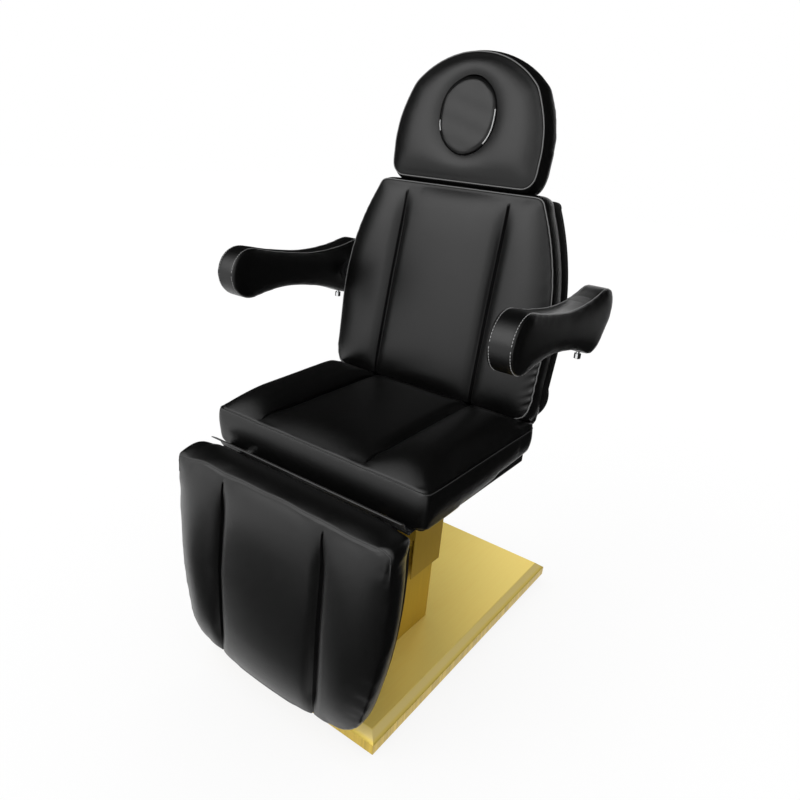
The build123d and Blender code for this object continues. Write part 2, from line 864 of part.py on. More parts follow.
def make_control_box():
    rear = from_front(middle_cross_from_seat_front) - frame_tube_width / 2
    front = from_front(front_cross_from_seat_front) + frame_tube_width / 2
    y = (rear + front) / 2
    box = block(
        -control_box_width / 2, control_box_width / 2, y - control_box_depth / 2, y + control_box_depth / 2,
        frame_top_z - control_box_height, frame_top_z,
    )
    box = fillet(box.edges().filter_by(Axis.Z), control_box_radius)
    for step in (-1, 0, 1):
        x = step * control_box_width / 4
        hole = Pos(x, y - control_box_depth / 2, frame_top_z - control_box_height / 2)
        box -= hole * Rot(90, 0, 0) * Cylinder(control_socket_radius, control_socket_depth * 2)
    return box


# Outlines of the shaped cushions, mirrored about the middle
def mirrored_face(foot, steps, crown=None, sole=None):
    left_foot = (-foot[0], foot[1])
    edges = [ThreePointArc(left_foot, sole, foot) if sole else Line(left_foot, foot)]
    here = foot
    for step in steps:
        there = step[-1]
        for side in (1, -1):
            a = (side * here[0], here[1])
            b = (side * there[0], there[1])
            if len(step) == 2:
                edges.append(ThreePointArc(a, (side * step[0][0], step[0][1]), b))
            else:
                edges.append(Line(a, b))
        here = there
    left_here = (-here[0], here[1])
    edges.append(ThreePointArc(here, crown, left_here) if crown else Line(here, left_here))
    return make_face(edges)


def corner_middle(x, y, radius):
    cut = radius * (1 - sqrt(0.5))
    return (x - cut, y - cut)


def padded_form(section, side, peak, side_draw, seam_draw, pillow_inset, top_inset):
    lower = loft([
        section(side_draw, 0),
        Pos(0, 0, side / 2) * section(0, side / 2),
        Pos(0, 0, side) * section(seam_draw, side),
    ])
    pillow = (side + peak) / 2
    upper = loft([
        Pos(0, 0, side) * section(seam_draw, side),
        Pos(0, 0, pillow) * section(pillow_inset, pillow),
        Pos(0, 0, peak) * section(top_inset, peak),
    ])
    return lower + upper


def channelled(form, half_width, v0, v1, edge, valley, ridge):
    profile = Plane.XZ * panel_profile(half_width + overrun, edge, valley, ridge)
    bar = Pos(0, v0 - overrun, 0) * extrude(profile, amount=-(v1 - v0 + 2 * overrun))
    return form & bar


# Leg rest
def leg_section(inset, height):
    half = leg_half_width - inset
    top = leg_top_z - inset
    foot = (leg_foot_half_width - inset, leg_foot_z + inset)
    low = (leg_low_half_width - inset, leg_low_z + inset / 2)
    steps = [
        ((leg_corner_half_width - inset, leg_corner_z + inset), low),
        ((leg_waist_half_width - inset, leg_waist_z), (half, top - leg_top_radius)),
        (corner_middle(half, top, leg_top_radius), (half - leg_top_radius, top)),
    ]
    return mirrored_face(foot, steps, sole=(0, leg_bottom_z + inset))


def make_leg_cushion():
    form = padded_form(
        leg_section, leg_foam_side, leg_peak_height,
        leg_side_draw, leg_seam_draw, leg_pillow_inset, leg_top_inset,
    )
    form = channelled(
        form, leg_half_width, leg_bottom_z, leg_top_z,
        leg_edge_height, leg_foam, leg_foam + leg_panel_crown,
    )
    return leg_plane.location * form


def leg_hinge_notches():
    notches = []
    for side in (-1, 1):
        x0, x1 = ordered(side, leg_rail_x - leg_notch_half_width, leg_rail_x + leg_notch_half_width)
        notches.append(block(
            x0, x1, leg_board_front_y - overrun, leg_pivot_y + overrun,
            leg_top_z - leg_notch_depth, leg_top_z + overrun,
        ))
    return notches


def make_leg_board():
    board = leg_plane.location * extrude(leg_section(leg_board_inset, 0), amount=-leg_board_thickness)
    for notch in leg_hinge_notches():
        board -= notch
    return board


def make_leg_frame():
    half = leg_rail_width / 2
    y0 = leg_pivot_y
    y1 = leg_pivot_y + leg_rail_width
    pieces = []
    for side in (-1, 1):
        x0, x1 = ordered(side, leg_rail_x - half, leg_rail_x + half)
        pieces.append(hollow_tube(x0, x1, y0, y1, leg_rail_bottom_z, leg_rail_top_z, "z", tube_wall))
    inner = leg_rail_x - half
    for z in (leg_upper_cross_z, leg_lower_cross_z):
        pieces.append(hollow_tube(-inner, inner, y0, y1, z - half, z + half, "x", tube_wall))
    return pieces


def make_leg_ears():
    ears = []
    near = leg_lug_thickness / 2 + weld_touch_gap
    half = leg_rail_width / 2
    foot = leg_rail_top_z - leg_rail_width
    for side in (-1, 1):
        rail = block(
            side * leg_rail_x - half, side * leg_rail_x + half,
            leg_pivot_y, leg_pivot_y + leg_rail_width, leg_rail_bottom_z, leg_rail_top_z,
        )
        for way in (-1, 1):
            x0, x1 = ordered(way, near, near + leg_ear_thickness)
            x0 += side * leg_rail_x
            x1 += side * leg_rail_x
            outline = [
                (leg_pivot_y, foot),
                (leg_pivot_y, leg_top_z - leg_notch_depth + weld_touch_gap),
                (leg_pivot_y - leg_hub_radius, leg_pivot_z),
                (leg_pivot_y + leg_hub_radius, leg_pivot_z),
                (leg_pivot_y + leg_rail_width, leg_rail_top_z),
                (leg_pivot_y + leg_rail_width, foot),
            ]
            ear = side_prism(outline, x0, x1)
            ear += rod_x(x0, x1, leg_pivot_y, leg_pivot_z, leg_hub_radius)
            ear -= rail
            hole = rod_x(x0 - overrun, x1 + overrun, leg_pivot_y, leg_pivot_z, leg_pin_radius + running_gap)
            ears.append(ear - hole)
    return ears


def crank_pin_place(pivot_y, pivot_z, length, angle_deg):
    return (pivot_y + length * sin(radians(angle_deg)), pivot_z - length * cos(radians(angle_deg)))


def crank_sheets(x, pin, anchor):
    plates = []
    near = rod_end_width / 2 + crank_gap
    for way in (-1, 1):
        x0, x1 = ordered(way, near, near + crank_sheet)
        x0 += x
        x1 += x
        y, z = pin
        r = crank_boss_radius
        across = atan2(anchor[1] - z, anchor[0] - y)
        dy = r * sin(across)
        dz = -r * cos(across)
        outline = [
            (y + dy, z + dz),
            (anchor[0] + dy, anchor[1] + dz),
            (anchor[0] - dy, anchor[1] - dz),
            (y - dy, z - dz),
        ]
        plate = side_prism(outline, x0, x1) + rod_x(x0, x1, y, z, r)
        plate -= rod_x(x0 - overrun, x1 + overrun, y, z, crank_pin_radius + running_gap)
        plates.append(plate)
    return plates


def make_crank_pin(side, place):
    reach = rod_end_width / 2 + crank_gap + crank_sheet
    head_x = actuator_x - reach - hinge_pin_head
    return headed_pin(side, head_x, actuator_x + reach, *place, crank_pin_radius)


leg_pin_place = crank_pin_place(leg_pivot_y, leg_pivot_z, leg_crank_length, leg_crank_rest_deg)
back_pin_place = crank_pin_place(back_pivot_y, back_pivot_z, back_crank_length, back_crank_rest_deg)


def make_leg_crank():
    half = leg_rail_width / 2
    anchor = (leg_pivot_y + half, leg_upper_cross_z)
    bar = block(
        -leg_rail_x, leg_rail_x, leg_pivot_y, leg_pivot_y + leg_rail_width,
        leg_upper_cross_z - half, leg_upper_cross_z + half,
    )
    board_side = block(
        -leg_rail_x, leg_rail_x, leg_pivot_y - leg_rail_width, leg_pivot_y, leg_bottom_z, leg_pivot_z
    )
    return [plate - bar - board_side for plate in crank_sheets(-actuator_x, leg_pin_place, anchor)]


# Flap: a strip with a bead that turns in a slotted rail
def flap_spans():
    half_gap = flap_hinge_gap / 2
    inner = leg_rail_x - half_gap
    outer = leg_rail_x + half_gap
    return [(-flap_width / 2, -outer), (-inner, inner), (outer, flap_width / 2)]


def make_hinge_flap():
    y = from_front(flap_pivot_from_seat_front)
    half = flap_thickness / 2
    web = block(-flap_width / 2, flap_width / 2, -half, half, 0, flap_length)
    web = fillet(web.edges().filter_by(Axis.X).group_by(Axis.Z)[-1], half * flap_tip_share)
    flap = web
    for x0, x1 in flap_spans():
        flap += rod_x(x0, x1, 0, 0, flap_bead_radius)
    for side in (-1, 1):
        x0, x1 = ordered(side, leg_rail_x - flap_hinge_gap / 2, leg_rail_x + flap_hinge_gap / 2)
        flap -= block(x0, x1, -flap_length, flap_length, -flap_length, flap_bead_radius)
    return Pos(0, y, flap_pivot_z) * Rot(flap_lean_deg, 0, 0) * flap


def seat_rail_space(side):
    half = frame_tube_width / 2 + bolt_hole_gap
    x0, x1 = ordered(side, seat_rail_x - half, seat_rail_x + half)
    front = from_front(seat_rail_front_from_seat_front) - bolt_hole_gap
    return block(x0, x1, front, front + seat_depth, frame_bottom_z, board_top_z)


def make_flap_rail():
    y = from_front(flap_pivot_from_seat_front)
    rails = []
    long_way = flap_length * 2
    wedge = [
        (0, 0),
        (-long_way * sin(radians(flap_slot_front_deg)), long_way * cos(radians(flap_slot_front_deg))),
        (long_way * sin(radians(flap_slot_rear_deg)), long_way * cos(radians(flap_slot_rear_deg))),
    ]
    wedge = [(y + dy, flap_pivot_z + dz) for dy, dz in wedge]
    for x0, x1 in flap_spans():
        ring = rod_x(x0, x1, y, flap_pivot_z, flap_rail_radius)
        ring += block(x0, x1, y, y + flap_rail_flange, frame_top_z - flap_rail_sheet, frame_top_z)
        ring -= rod_x(x0 - overrun, x1 + overrun, y, flap_pivot_z, flap_bead_radius + running_gap)
        ring -= side_prism(wedge, x0 - overrun, x1 + overrun)
        for side in (-1, 1):
            ring -= seat_rail_space(side)
        rails.append(ring)
    return rails


# Backrest
def back_section(inset, height):
    rise = (back_bottom_v - back_bottom_rear_v) * height / back_foam
    bottom = back_bottom_rear_v + rise + inset
    top = back_top_v - inset
    top_half = back_top_half_width - inset
    steps = [
        (
            (back_corner_half_width - inset, bottom + back_corner_rise),
            (back_side_low_half_width - inset, back_side_low_v),
        ),
        ((back_half_width - inset, back_side_top_v),),
        ((back_shoulder_half_width - inset, back_shoulder_v), (top_half, top - back_top_radius)),
        (corner_middle(top_half, top, back_top_radius), (top_half - back_top_radius, top)),
    ]
    return mirrored_face((back_foot_half_width - inset, bottom), steps)


def on_back_plane(shape, w):
    return back_plane.location * Pos(0, 0, w) * shape


def back_block(u0, u1, v0, v1, w0, w1):
    return back_plane.location * block(u0, u1, v0, v1, w0, w1)


def make_back_cushion():
    form = padded_form(
        back_section, back_foam_side, back_foam + back_crown,
        back_side_draw, back_seam_draw, back_pillow_inset, back_top_inset,
    )
    form = channelled(
        form, back_half_width, back_bottom_rear_v, back_top_v,
        back_edge_height, back_foam - channel_depth / 2, back_foam + channel_depth / 2,
    )
    return on_back_plane(form, -back_foam)


def make_back_board():
    board = extrude(back_section(-back_board_proud, 0), amount=-back_board_thickness)
    return on_back_plane(board, -back_foam)


def make_back_frame():
    wall = tube_wall
    half = back_rail_width / 2
    pieces = []
    for side in (-1, 1):
        x0, x1 = ordered(side, back_rail_inner_x, back_rail_inner_x + back_rail_width)
        rail = hollow_tube(
            x0, x1, back_rail_bottom_v, back_rail_top_v, back_rail_rear_w, back_board_rear_w, "y", wall
        )
        pieces.append(back_plane.location * rail)
    for v, reach in ((back_low_cross_v, back_hub_x), (back_high_cross_v, back_rail_inner_x)):
        cross = hollow_tube(
            -reach, reach, v - half, v + half, back_rail_rear_w, back_board_rear_w, "x", wall
        )
        pieces.append(back_plane.location * cross)
    return pieces


def make_back_hubs():
    hubs = []
    for side in (-1, 1):
        x0, x1 = ordered(side, back_hub_x, back_rail_inner_x)
        outline = [
            on_back(back_hub_radius, back_rail_rear_w),
            on_back(back_hub_radius, back_board_rear_w),
            on_back(back_bottom_rear_v - back_board_proud, back_board_rear_w),
            (back_pivot_y - back_hub_radius, back_pivot_z),
            (back_pivot_y, back_pivot_z - back_hub_radius),
            on_back(back_rail_bottom_v, back_rail_rear_w),
        ]
        hub = side_prism(outline, x0, x1)
        hub += rod_x(x0, x1, back_pivot_y, back_pivot_z, back_hub_radius)
        hub -= rod_x(x0 - overrun, x1 + overrun, back_pivot_y, back_pivot_z, back_pin_radius + running_gap)
        hubs.append(hub)
    return hubs


def make_back_crank():
    anchor = on_back(back_low_cross_v, (back_rail_rear_w + back_board_rear_w) / 2)
    half = back_rail_width / 2
    bar = back_block(
        -back_hub_x, back_hub_x, back_low_cross_v - half, back_low_cross_v + half,
        back_rail_rear_w, back_board_rear_w,
    )
    board_side = back_block(
        -seat_rail_x, seat_rail_x, back_low_cross_v - back_rail_width, back_top_v, back_board_rear_w, 0
    )
    return [plate - bar - board_side for plate in crank_sheets(actuator_x, back_pin_place, anchor)]


def make_head_sleeves():
    v0 = head_sleeve_bottom_v
    v1 = head_sleeve_bottom_v + head_sleeve_length
    reach = head_rod_x + head_sleeve_plate_margin
    part = block(-reach, reach, v0, v1, back_board_rear_w - head_sleeve_plate, back_board_rear_w)
    bore = head_rod_radius + running_gap
    for side in (-1, 1):
        x = side * head_rod_x
        part += rod_y(x, v0, v1, head_rod_w, head_sleeve_radius)
        part -= rod_y(x, v0 - overrun, v1 + overrun, head_rod_w, bore)
    low_w = head_rod_w - head_sleeve_radius - overrun
    part -= rod_z(head_rod_x, knob_v, low_w, head_rod_w, knob_stem_radius + running_gap)
    return back_plane.location * part


def make_head_knob():
    stem_top = head_rod_w - head_rod_radius - weld_touch_gap
    stem_low = head_rod_w - head_sleeve_radius - knob_stem_length
    knob = rod_z(head_rod_x, knob_v, stem_low, stem_top, knob_stem_radius)
    grip = rod_z(head_rod_x, knob_v, stem_low - knob_thickness, stem_low, knob_radius)
    knob_lobe_place = knob_radius + knob_lobe_radius * knob_lobe_out_share
    for turn in range(knob_lobes):
        angle = radians(360 / knob_lobes * turn)
        x = head_rod_x + knob_lobe_place * cos(angle)
        v = knob_v + knob_lobe_place * sin(angle)
        grip -= rod_z(x, v, stem_low - knob_thickness - overrun, stem_low + overrun, knob_lobe_radius)
    return back_plane.location * (knob + grip)


# Headrest
def head_section(inset, height):
    brow = (head_brow_half_width - inset, head_brow_v - inset / 2)
    steps = [
        (
            (head_corner_half_width - inset, head_corner_v + inset),
            (head_side_half_width - inset, head_side_low_v),
        ),
        ((head_half_width - inset, head_side_high_v),),
        ((head_cheek_half_width - inset, head_cheek_v), brow),
    ]
    foot = (head_foot_half_width - inset, head_bottom_v + inset)
    return mirrored_face(foot, steps, crown=(0, head_top_v - inset))


def face_oval(margin):
    return Pos(0, face_hole_v, 0) * Ellipse(face_hole_half_width + margin, face_hole_half_height + margin)


def make_head_cushion():
    form = padded_form(
        head_section, head_foam_side, head_peak_height,
        head_side_draw, head_seam_draw, head_pillow_inset, head_top_inset,
    )
    hole = Pos(0, 0, -overrun) * extrude(face_oval(0), amount=head_peak_height + 2 * overrun)
    return on_back_plane(form - hole, head_board_front_w)


def make_head_board():
    board = extrude(head_section(head_side_draw, 0), amount=-head_board_thickness)
    hole = Pos(0, 0, overrun) * extrude(face_oval(-face_ledge), amount=-head_board_thickness - 2 * overrun)
    return on_back_plane(board - hole, head_board_front_w)


def make_face_plug():
    low = head_foam - face_plug_crown
    body = extrude(face_oval(-face_plug_gap), amount=low)
    dome = loft([
        Pos(0, 0, low) * face_oval(-face_plug_gap),
        Pos(0, 0, low + face_plug_crown) * face_oval(-face_plug_gap - face_plug_dome_inset),
    ])
    spigot = extrude(face_oval(-face_ledge - face_plug_spigot_gap), amount=-head_board_thickness)
    plug = body + dome + spigot
    return on_back_plane(plug, head_board_front_w + weld_touch_gap)


def make_head_rods():
    rods = []
    for side in (-1, 1):
        rod = rod_y(side * head_rod_x, head_rod_bottom_v, head_rod_top_v, head_rod_w, head_rod_radius)
        rods.append(back_plane.location * rod)
    return rods


def make_head_mounts():
    mounts = []
    v0 = head_mount_bottom_v
    v1 = head_mount_bottom_v + head_mount_height
    low_w = head_rod_w - head_rod_radius - head_mount_web
    for side in (-1, 1):
        x = side * head_rod_x
        mount = block(x - head_mount_half_width, x + head_mount_half_width, v0, v1, low_w, head_board_rear_w)
        mount -= rod_y(x, v0 - overrun, v1 + overrun, head_rod_w, head_rod_radius)
        mounts.append(back_plane.location * mount)
    return mounts


# Armrests
def two_circle_center(a, ra, b, rb, way):
    dy = b[0] - a[0]
    dz = b[1] - a[1]
    gap = hypot(dy, dz)
    along = (gap * gap + ra * ra - rb * rb) / (2 * gap)
    off = sqrt(ra * ra - along * along)
    return (a[0] + (along * dy - way * off * dz) / gap, a[1] + (along * dz + way * off * dy) / gap)


def toward(a, b, distance):
    gap = hypot(b[0] - a[0], b[1] - a[1])
    return (a[0] + (b[0] - a[0]) * distance / gap, a[1] + (b[1] - a[1]) * distance / gap)


def arm_face():
    nose = (from_front(arm_nose_from_seat_front), arm_nose_z)
    high = (from_front(arm_heel_high_from_seat_front), arm_heel_high_z)
    low = (from_front(arm_heel_low_from_seat_front), arm_heel_low_z)
    rn = arm_nose_radius
    rh = arm_heel_radius
    over = two_circle_center(nose, arm_top_hollow_radius + rn, high, arm_top_hollow_radius + rh, 1)
    under = two_circle_center(nose, arm_bottom_hollow_radius + rn, low, arm_bottom_hollow_radius + rh, -1)
    heel_y = high[0] - low[0]
    heel_z = high[1] - low[1]
    heel = hypot(heel_y, heel_z)
    out = (heel_z / heel * rh, -heel_y / heel * rh)
    top_a = toward(nose, over, rn)
    top_b = toward(high, over, rh)
    low_a = toward(nose, under, rn)
    low_b = toward(low, under, rh)
    top_mid = toward(over, ((top_a[0] + top_b[0]) / 2, (top_a[1] + top_b[1]) / 2), arm_top_hollow_radius)
    low_mid = toward(under, ((low_a[0] + low_b[0]) / 2, (low_a[1] + low_b[1]) / 2), arm_bottom_hollow_radius)
    nose_mid = toward(nose, toward(nose, high, -rn), rn)
    heel_top = (high[0] + out[0], high[1] + out[1])
    heel_low = (low[0] + out[0], low[1] + out[1])
    heel_top_mid = toward(high, (high[0] + rh, high[1] + rh), rh)
    heel_low_mid = toward(low, (low[0] + rh * arm_heel_arc_share, low[1] - rh), rh)
    arcs = [
        (low_a, nose_mid, top_a),
        (top_a, top_mid, top_b),
        (top_b, heel_top_mid, heel_top),
        (heel_low, heel_low_mid, low_b),
        (low_b, low_mid, low_a),
    ]
    edges = [ThreePointArc(*[(0, y, z) for y, z in arc]) for arc in arcs]
    edges.append(Line((0, *heel_top), (0, *heel_low)))
    return make_face(edges)


def make_arm_pad(side):
    x0, x1 = ordered(side, arm_inner_x, arm_inner_x + arm_thickness)
    pad = Pos(x0, 0, 0) * extrude(arm_face(), amount=x1 - x0, dir=(1, 0, 0))
    faces = pad.edges().group_by(Axis.X)
    pad = fillet(faces[0] + faces[-1], arm_edge_radius)
    a, b = ordered(side, arm_inner_x - overrun, arm_inner_x + arm_hub_length)
    pad -= rod_x(a, b, arm_pivot_y, arm_pivot_z, arm_hub_radius)
    pad -= rod_z(
        side * arm_middle_x, arm_pivot_y, arm_bottom_z - overrun, arm_pivot_z, arm_screw_radius + running_gap
    )
    return pad


def make_arm_hub(side):
    a, b = ordered(side, arm_inner_x - arm_hub_flange, arm_inner_x + arm_hub_length)
    hub = rod_x(a, b, arm_pivot_y, arm_pivot_z, arm_hub_radius)
    a, b = ordered(side, arm_inner_x - arm_hub_flange, arm_inner_x)
    hub += rod_x(a, b, arm_pivot_y, arm_pivot_z, arm_hub_flange_radius)
    a, b = ordered(side, arm_inner_x - arm_hub_flange - overrun, arm_inner_x + arm_hub_length + overrun)
    hub -= rod_x(a, b, arm_pivot_y, arm_pivot_z, arm_stub_radius + running_gap)
    hub -= rod_z(
        side * arm_middle_x, arm_pivot_y, arm_pivot_z - arm_hub_flange_radius, arm_pivot_z,
        arm_screw_radius + running_gap,
    )
    return hub


def make_arm_screw(side):
    x = side * arm_middle_x
    tip = arm_pivot_z - arm_stub_radius - weld_touch_gap
    low = arm_bottom_z - arm_screw_show
    screw = rod_z(x, arm_pivot_y, low, tip, arm_screw_radius)
    head = rod_z(x, arm_pivot_y, low - arm_screw_head_height, low, arm_screw_head_radius)
    head = chamfer(head.edges(), arm_screw_chamfer)
    return screw + head


def make_arm_bracket(side):
    rail_x = back_rail_inner_x + back_rail_width
    y = arm_pivot_y - from_front(back_face_from_seat_front)
    z = arm_pivot_z - back_face_z
    v = y * lean_sin + z * lean_cos
    w = -y * lean_cos + z * lean_sin
    half = arm_bracket_height / 2
    t = arm_bracket_thickness
    near = back_board_rear_w - t
    x0, x1 = ordered(side, rail_x, arm_bracket_x + t)
    bar = block(x0, x1, v - half, v + half, near, back_board_rear_w)
    x0, x1 = ordered(side, arm_bracket_x, arm_bracket_x + t)
    plate = block(x0, x1, v - half, v + half, near, w)
    plate += Pos((x0 + x1) / 2, v, w) * Rot(0, 90, 0) * Cylinder(half, t)
    x0, x1 = ordered(side, arm_bracket_x, arm_inner_x + arm_hub_length - arm_stub_tip_gap)
    stub = Pos((x0 + x1) / 2, v, w) * Rot(0, 90, 0) * Cylinder(arm_stub_radius, x1 - x0)
    return back_plane.location * (bar + plate + stub)


# Actuators that tilt the backrest and raise the leg rest, drawn along +Y from their rear pins
def actuator_place(side, rear_y, pin):
    lift = degrees(atan2(pin[1] - actuator_z, pin[0] - rear_y))
    return Pos(side * actuator_x, rear_y, actuator_z) * Rot(lift, 0, 0)


def actuator_housing(body_length):
    half_eye = actuator_eye_width / 2
    neck = actuator_bracket_length / 2 + hinge_pin_head
    nose = body_length - actuator_nose_length
    housing = rod_x(-half_eye, half_eye, 0, 0, actuator_eye_radius)
    housing += block(-half_eye, half_eye, 0, neck + overrun, -actuator_eye_radius, actuator_eye_radius)
    housing += rod_y(0, neck, nose, 0, actuator_radius)
    housing += rod_y(0, nose, body_length, 0, actuator_nose_radius)
    housing -= rod_x(-actuator_radius, actuator_radius, 0, 0, actuator_pin_radius + running_gap)
    housing -= rod_y(0, neck + actuator_radius, nose, 0, actuator_bore_radius)
    housing -= rod_y(0, nose - overrun, body_length + overrun, 0, actuator_rod_radius + running_gap)
    return housing


def actuator_rod(start, length, slot_offset):
    half_end = rod_end_width / 2
    wall = rod_end_wall
    reach = slot_half_length + wall
    y0 = length - slot_half_width
    y1 = length + slot_half_width
    end = block(-half_end, half_end, y0 - wall, y1 + wall, -reach, reach)
    end = fillet(end.edges().filter_by(Axis.X), wall)
    slot = block(-half_end - overrun, half_end + overrun, y0, y1, -slot_half_length, slot_half_length)
    slot = fillet(slot.edges().filter_by(Axis.X), slot_corner_radius)
    return rod_y(0, start, y0 - wall, 0, actuator_rod_radius) + Pos(0, 0, slot_offset) * (end - slot)


def pin_distance(rear_y, pin):
    return hypot(pin[0] - rear_y, pin[1] - actuator_z)


back_motor_y = from_front(front_cross_from_seat_front)
leg_motor_y = from_front(rear_cross_from_seat_front)
back_motor_place = actuator_place(1, back_motor_y, back_pin_place)
leg_motor_place = actuator_place(-1, leg_motor_y, leg_pin_place)


def make_back_rod():
    start = back_actuator_body - actuator_rod_overlap
    return actuator_rod(start, pin_distance(back_motor_y, back_pin_place), back_slot_offset)


def make_leg_rod():
    start = leg_actuator_body - actuator_rod_overlap - leg_rod_travel
    return actuator_rod(start, pin_distance(leg_motor_y, leg_pin_place), leg_slot_offset)


makers = {
    "base_tray": make_base_tray,
    "base_frame": make_base_frame,
    "rubber_feet": make_feet,
    "foot_studs": make_foot_studs,
    "column_lower_cover": make_lower_cover,
    "column_upper_cover": make_upper_cover,
    "mast_outer_tube": make_mast_outer,
    "mast_bolts": make_mast_bolts,
    "mast_glide_pads": make_mast_glides,
    "mast_inner_tube": make_mast_inner,
    "lift_actuator_housing": make_lift_housing,
    "lift_actuator_rod": make_lift_rod,
    "mains_inlet": make_mains_inlet,
    "crosshead_plate": make_crosshead,
    "seat_frame": make_seat_frame,
    "seat_frame_lugs": make_seat_lugs,
    "seat_board": make_seat_board,
    "seat_cushion": make_seat_cushion,
    "back_hinge_pins": make_back_hinge_pins,
    "leg_hinge_pins": make_leg_hinge_pins,
    "actuator_rear_pins": make_actuator_rear_pins,
    "control_box": make_control_box,
    "hinge_flap": make_hinge_flap,
    "flap_rail": make_flap_rail,
    "leg_cushion": make_leg_cushion,
    "leg_board": make_leg_board,
    "leg_frame": make_leg_frame,
    "leg_hinge_ears": make_leg_ears,
    "leg_crank": make_leg_crank,
    "back_cushion": make_back_cushion,
    "back_board": make_back_board,
    "back_frame": make_back_frame,
    "back_hinge_hubs": make_back_hubs,
    "back_crank": make_back_crank,
    "head_sleeves": make_head_sleeves,
    "head_clamp_knob": make_head_knob,
    "head_cushion": make_head_cushion,
    "head_board": make_head_board,
    "head_rods": make_head_rods,
    "head_mounts": make_head_mounts,
    "face_plug": make_face_plug,
}
for name, make in makers.items():
    save(name, make())

arm_makers = {
    "arm_pad": make_arm_pad,
    "arm_hub": make_arm_hub,
    "arm_clamp_screw": make_arm_screw,
    "arm_bracket": make_arm_bracket,
}
for side_name, side in (("right", -1), ("left", 1)):
    for name, make in arm_makers.items():
        save(name + "_" + side_name, make(side))

save("leg_crank_pin", make_crank_pin(-1, leg_pin_place))
save("back_crank_pin", make_crank_pin(1, back_pin_place))
save("back_actuator_housing", back_motor_place * actuator_housing(back_actuator_body))
save("back_actuator_rod", back_motor_place * make_back_rod())
save("leg_actuator_housing", leg_motor_place * actuator_housing(leg_actuator_body))
save("leg_actuator_rod", leg_motor_place * make_leg_rod())
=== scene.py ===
import math

import bmesh
import bpy
import numpy as np
from mathutils import Matrix, Vector
from mathutils.bvhtree import BVHTree


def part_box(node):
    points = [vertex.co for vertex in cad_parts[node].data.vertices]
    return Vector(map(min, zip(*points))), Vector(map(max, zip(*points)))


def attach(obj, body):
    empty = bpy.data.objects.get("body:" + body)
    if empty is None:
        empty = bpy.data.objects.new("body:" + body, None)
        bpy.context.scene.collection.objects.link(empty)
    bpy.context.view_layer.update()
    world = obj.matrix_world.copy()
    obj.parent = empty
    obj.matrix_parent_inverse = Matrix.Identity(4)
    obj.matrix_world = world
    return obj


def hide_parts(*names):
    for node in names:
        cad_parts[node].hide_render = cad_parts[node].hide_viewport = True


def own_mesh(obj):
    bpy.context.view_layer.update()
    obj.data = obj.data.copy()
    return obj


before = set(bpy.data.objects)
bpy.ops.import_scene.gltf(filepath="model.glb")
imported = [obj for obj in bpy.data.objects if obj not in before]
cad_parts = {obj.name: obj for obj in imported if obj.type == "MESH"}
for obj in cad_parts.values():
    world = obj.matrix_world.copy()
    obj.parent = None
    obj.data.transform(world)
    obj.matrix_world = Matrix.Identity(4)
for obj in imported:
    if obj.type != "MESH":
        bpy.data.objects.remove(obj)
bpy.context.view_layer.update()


# The base tray and the two covers of the lifting column are folded from thin sheet steel.
# They are brushed along the sheet, in lines finer than a hair, then coated in a satin gold.
# The tray's skirt is painted darker and streaked, as painted shade, and its bevel is painted brightest, as
# a painted highlight.
class Wire:
    """An output of a material's nodes. A sum or a product with a wire adds a Math node."""

    def __init__(self, tree, socket=None):
        self.tree = tree
        self.socket = socket

    def node(self, kind, settings=None, inputs=None, output=0):
        made = self.tree.nodes.new(kind)
        for name, value in (settings or {}).items():
            if name == "stops":
                stops = made.color_ramp.elements
                while len(stops) < len(value):
                    stops.new(1)
                for stop, (place, grey) in zip(stops, value):
                    stop.position = place
                    stop.color = (grey, grey, grey, 1)
            else:
                setattr(made, name, value)
        for name, value in (inputs or {}).items():
            if isinstance(value, Wire):
                self.tree.links.new(value.socket, made.inputs[name])
            else:
                made.inputs[name].default_value = value
        return Wire(self.tree, made.outputs[output]) if made.outputs else None

    def maths(self, operation, first, second):
        return self.node("ShaderNodeMath", {"operation": operation}, {0: first, 1: second})

    def __add__(self, other):
        return self.maths("ADD", self, other)

    def __mul__(self, other):
        return self.maths("MULTIPLY", self, other)


def new_finish(name):
    finish = bpy.data.materials.new(name)
    finish.use_nodes = True
    finish.node_tree.nodes.clear()
    return finish, Wire(finish.node_tree)


def noise(start, scale, stretch=(1, 1, 1), detail=3, rough=0.5):
    place = start.node("ShaderNodeTexCoord", output="Object")
    place = start.node("ShaderNodeMapping", inputs={"Vector": place, "Scale": stretch})
    return start.node(
        "ShaderNodeTexNoise", inputs={"Vector": place, "Scale": scale, "Detail": detail, "Roughness": rough}
    )


def ramp(start, value, stops):
    return start.node("ShaderNodeValToRGB", {"stops": stops}, {"Fac": value})


def blend(start, share, first, second):
    """Mixes two colours, each of them three numbers or a wire."""
    first, second = (colour if isinstance(colour, Wire) else (*colour, 1) for colour in (first, second))
    return start.node("ShaderNodeMix", {"data_type": "RGBA"}, {0: share, 6: first, 7: second}, output=2)


def relief(start, height, depth, strength=1.0):
    return start.node("ShaderNodeBump", inputs={"Height": height, "Distance": depth, "Strength": strength})


def finish_with(finish, start, **sockets):
    inputs = {name.replace("_", " "): value for name, value in sockets.items()}
    shader = start.node("ShaderNodeBsdfPrincipled", inputs=inputs)
    start.node("ShaderNodeOutputMaterial", inputs={"Surface": shader})
    return finish


def give(finish, *nodes):
    for name in nodes:
        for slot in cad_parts[name].material_slots:
            slot.material = finish


skirt_shade_heights = [(0.0405, 1), (0.0425, 0)]
bevel_highlight_heights = [(0.0425, 0), (0.0445, 1), (0.0560, 1), (0.0568, 0)]


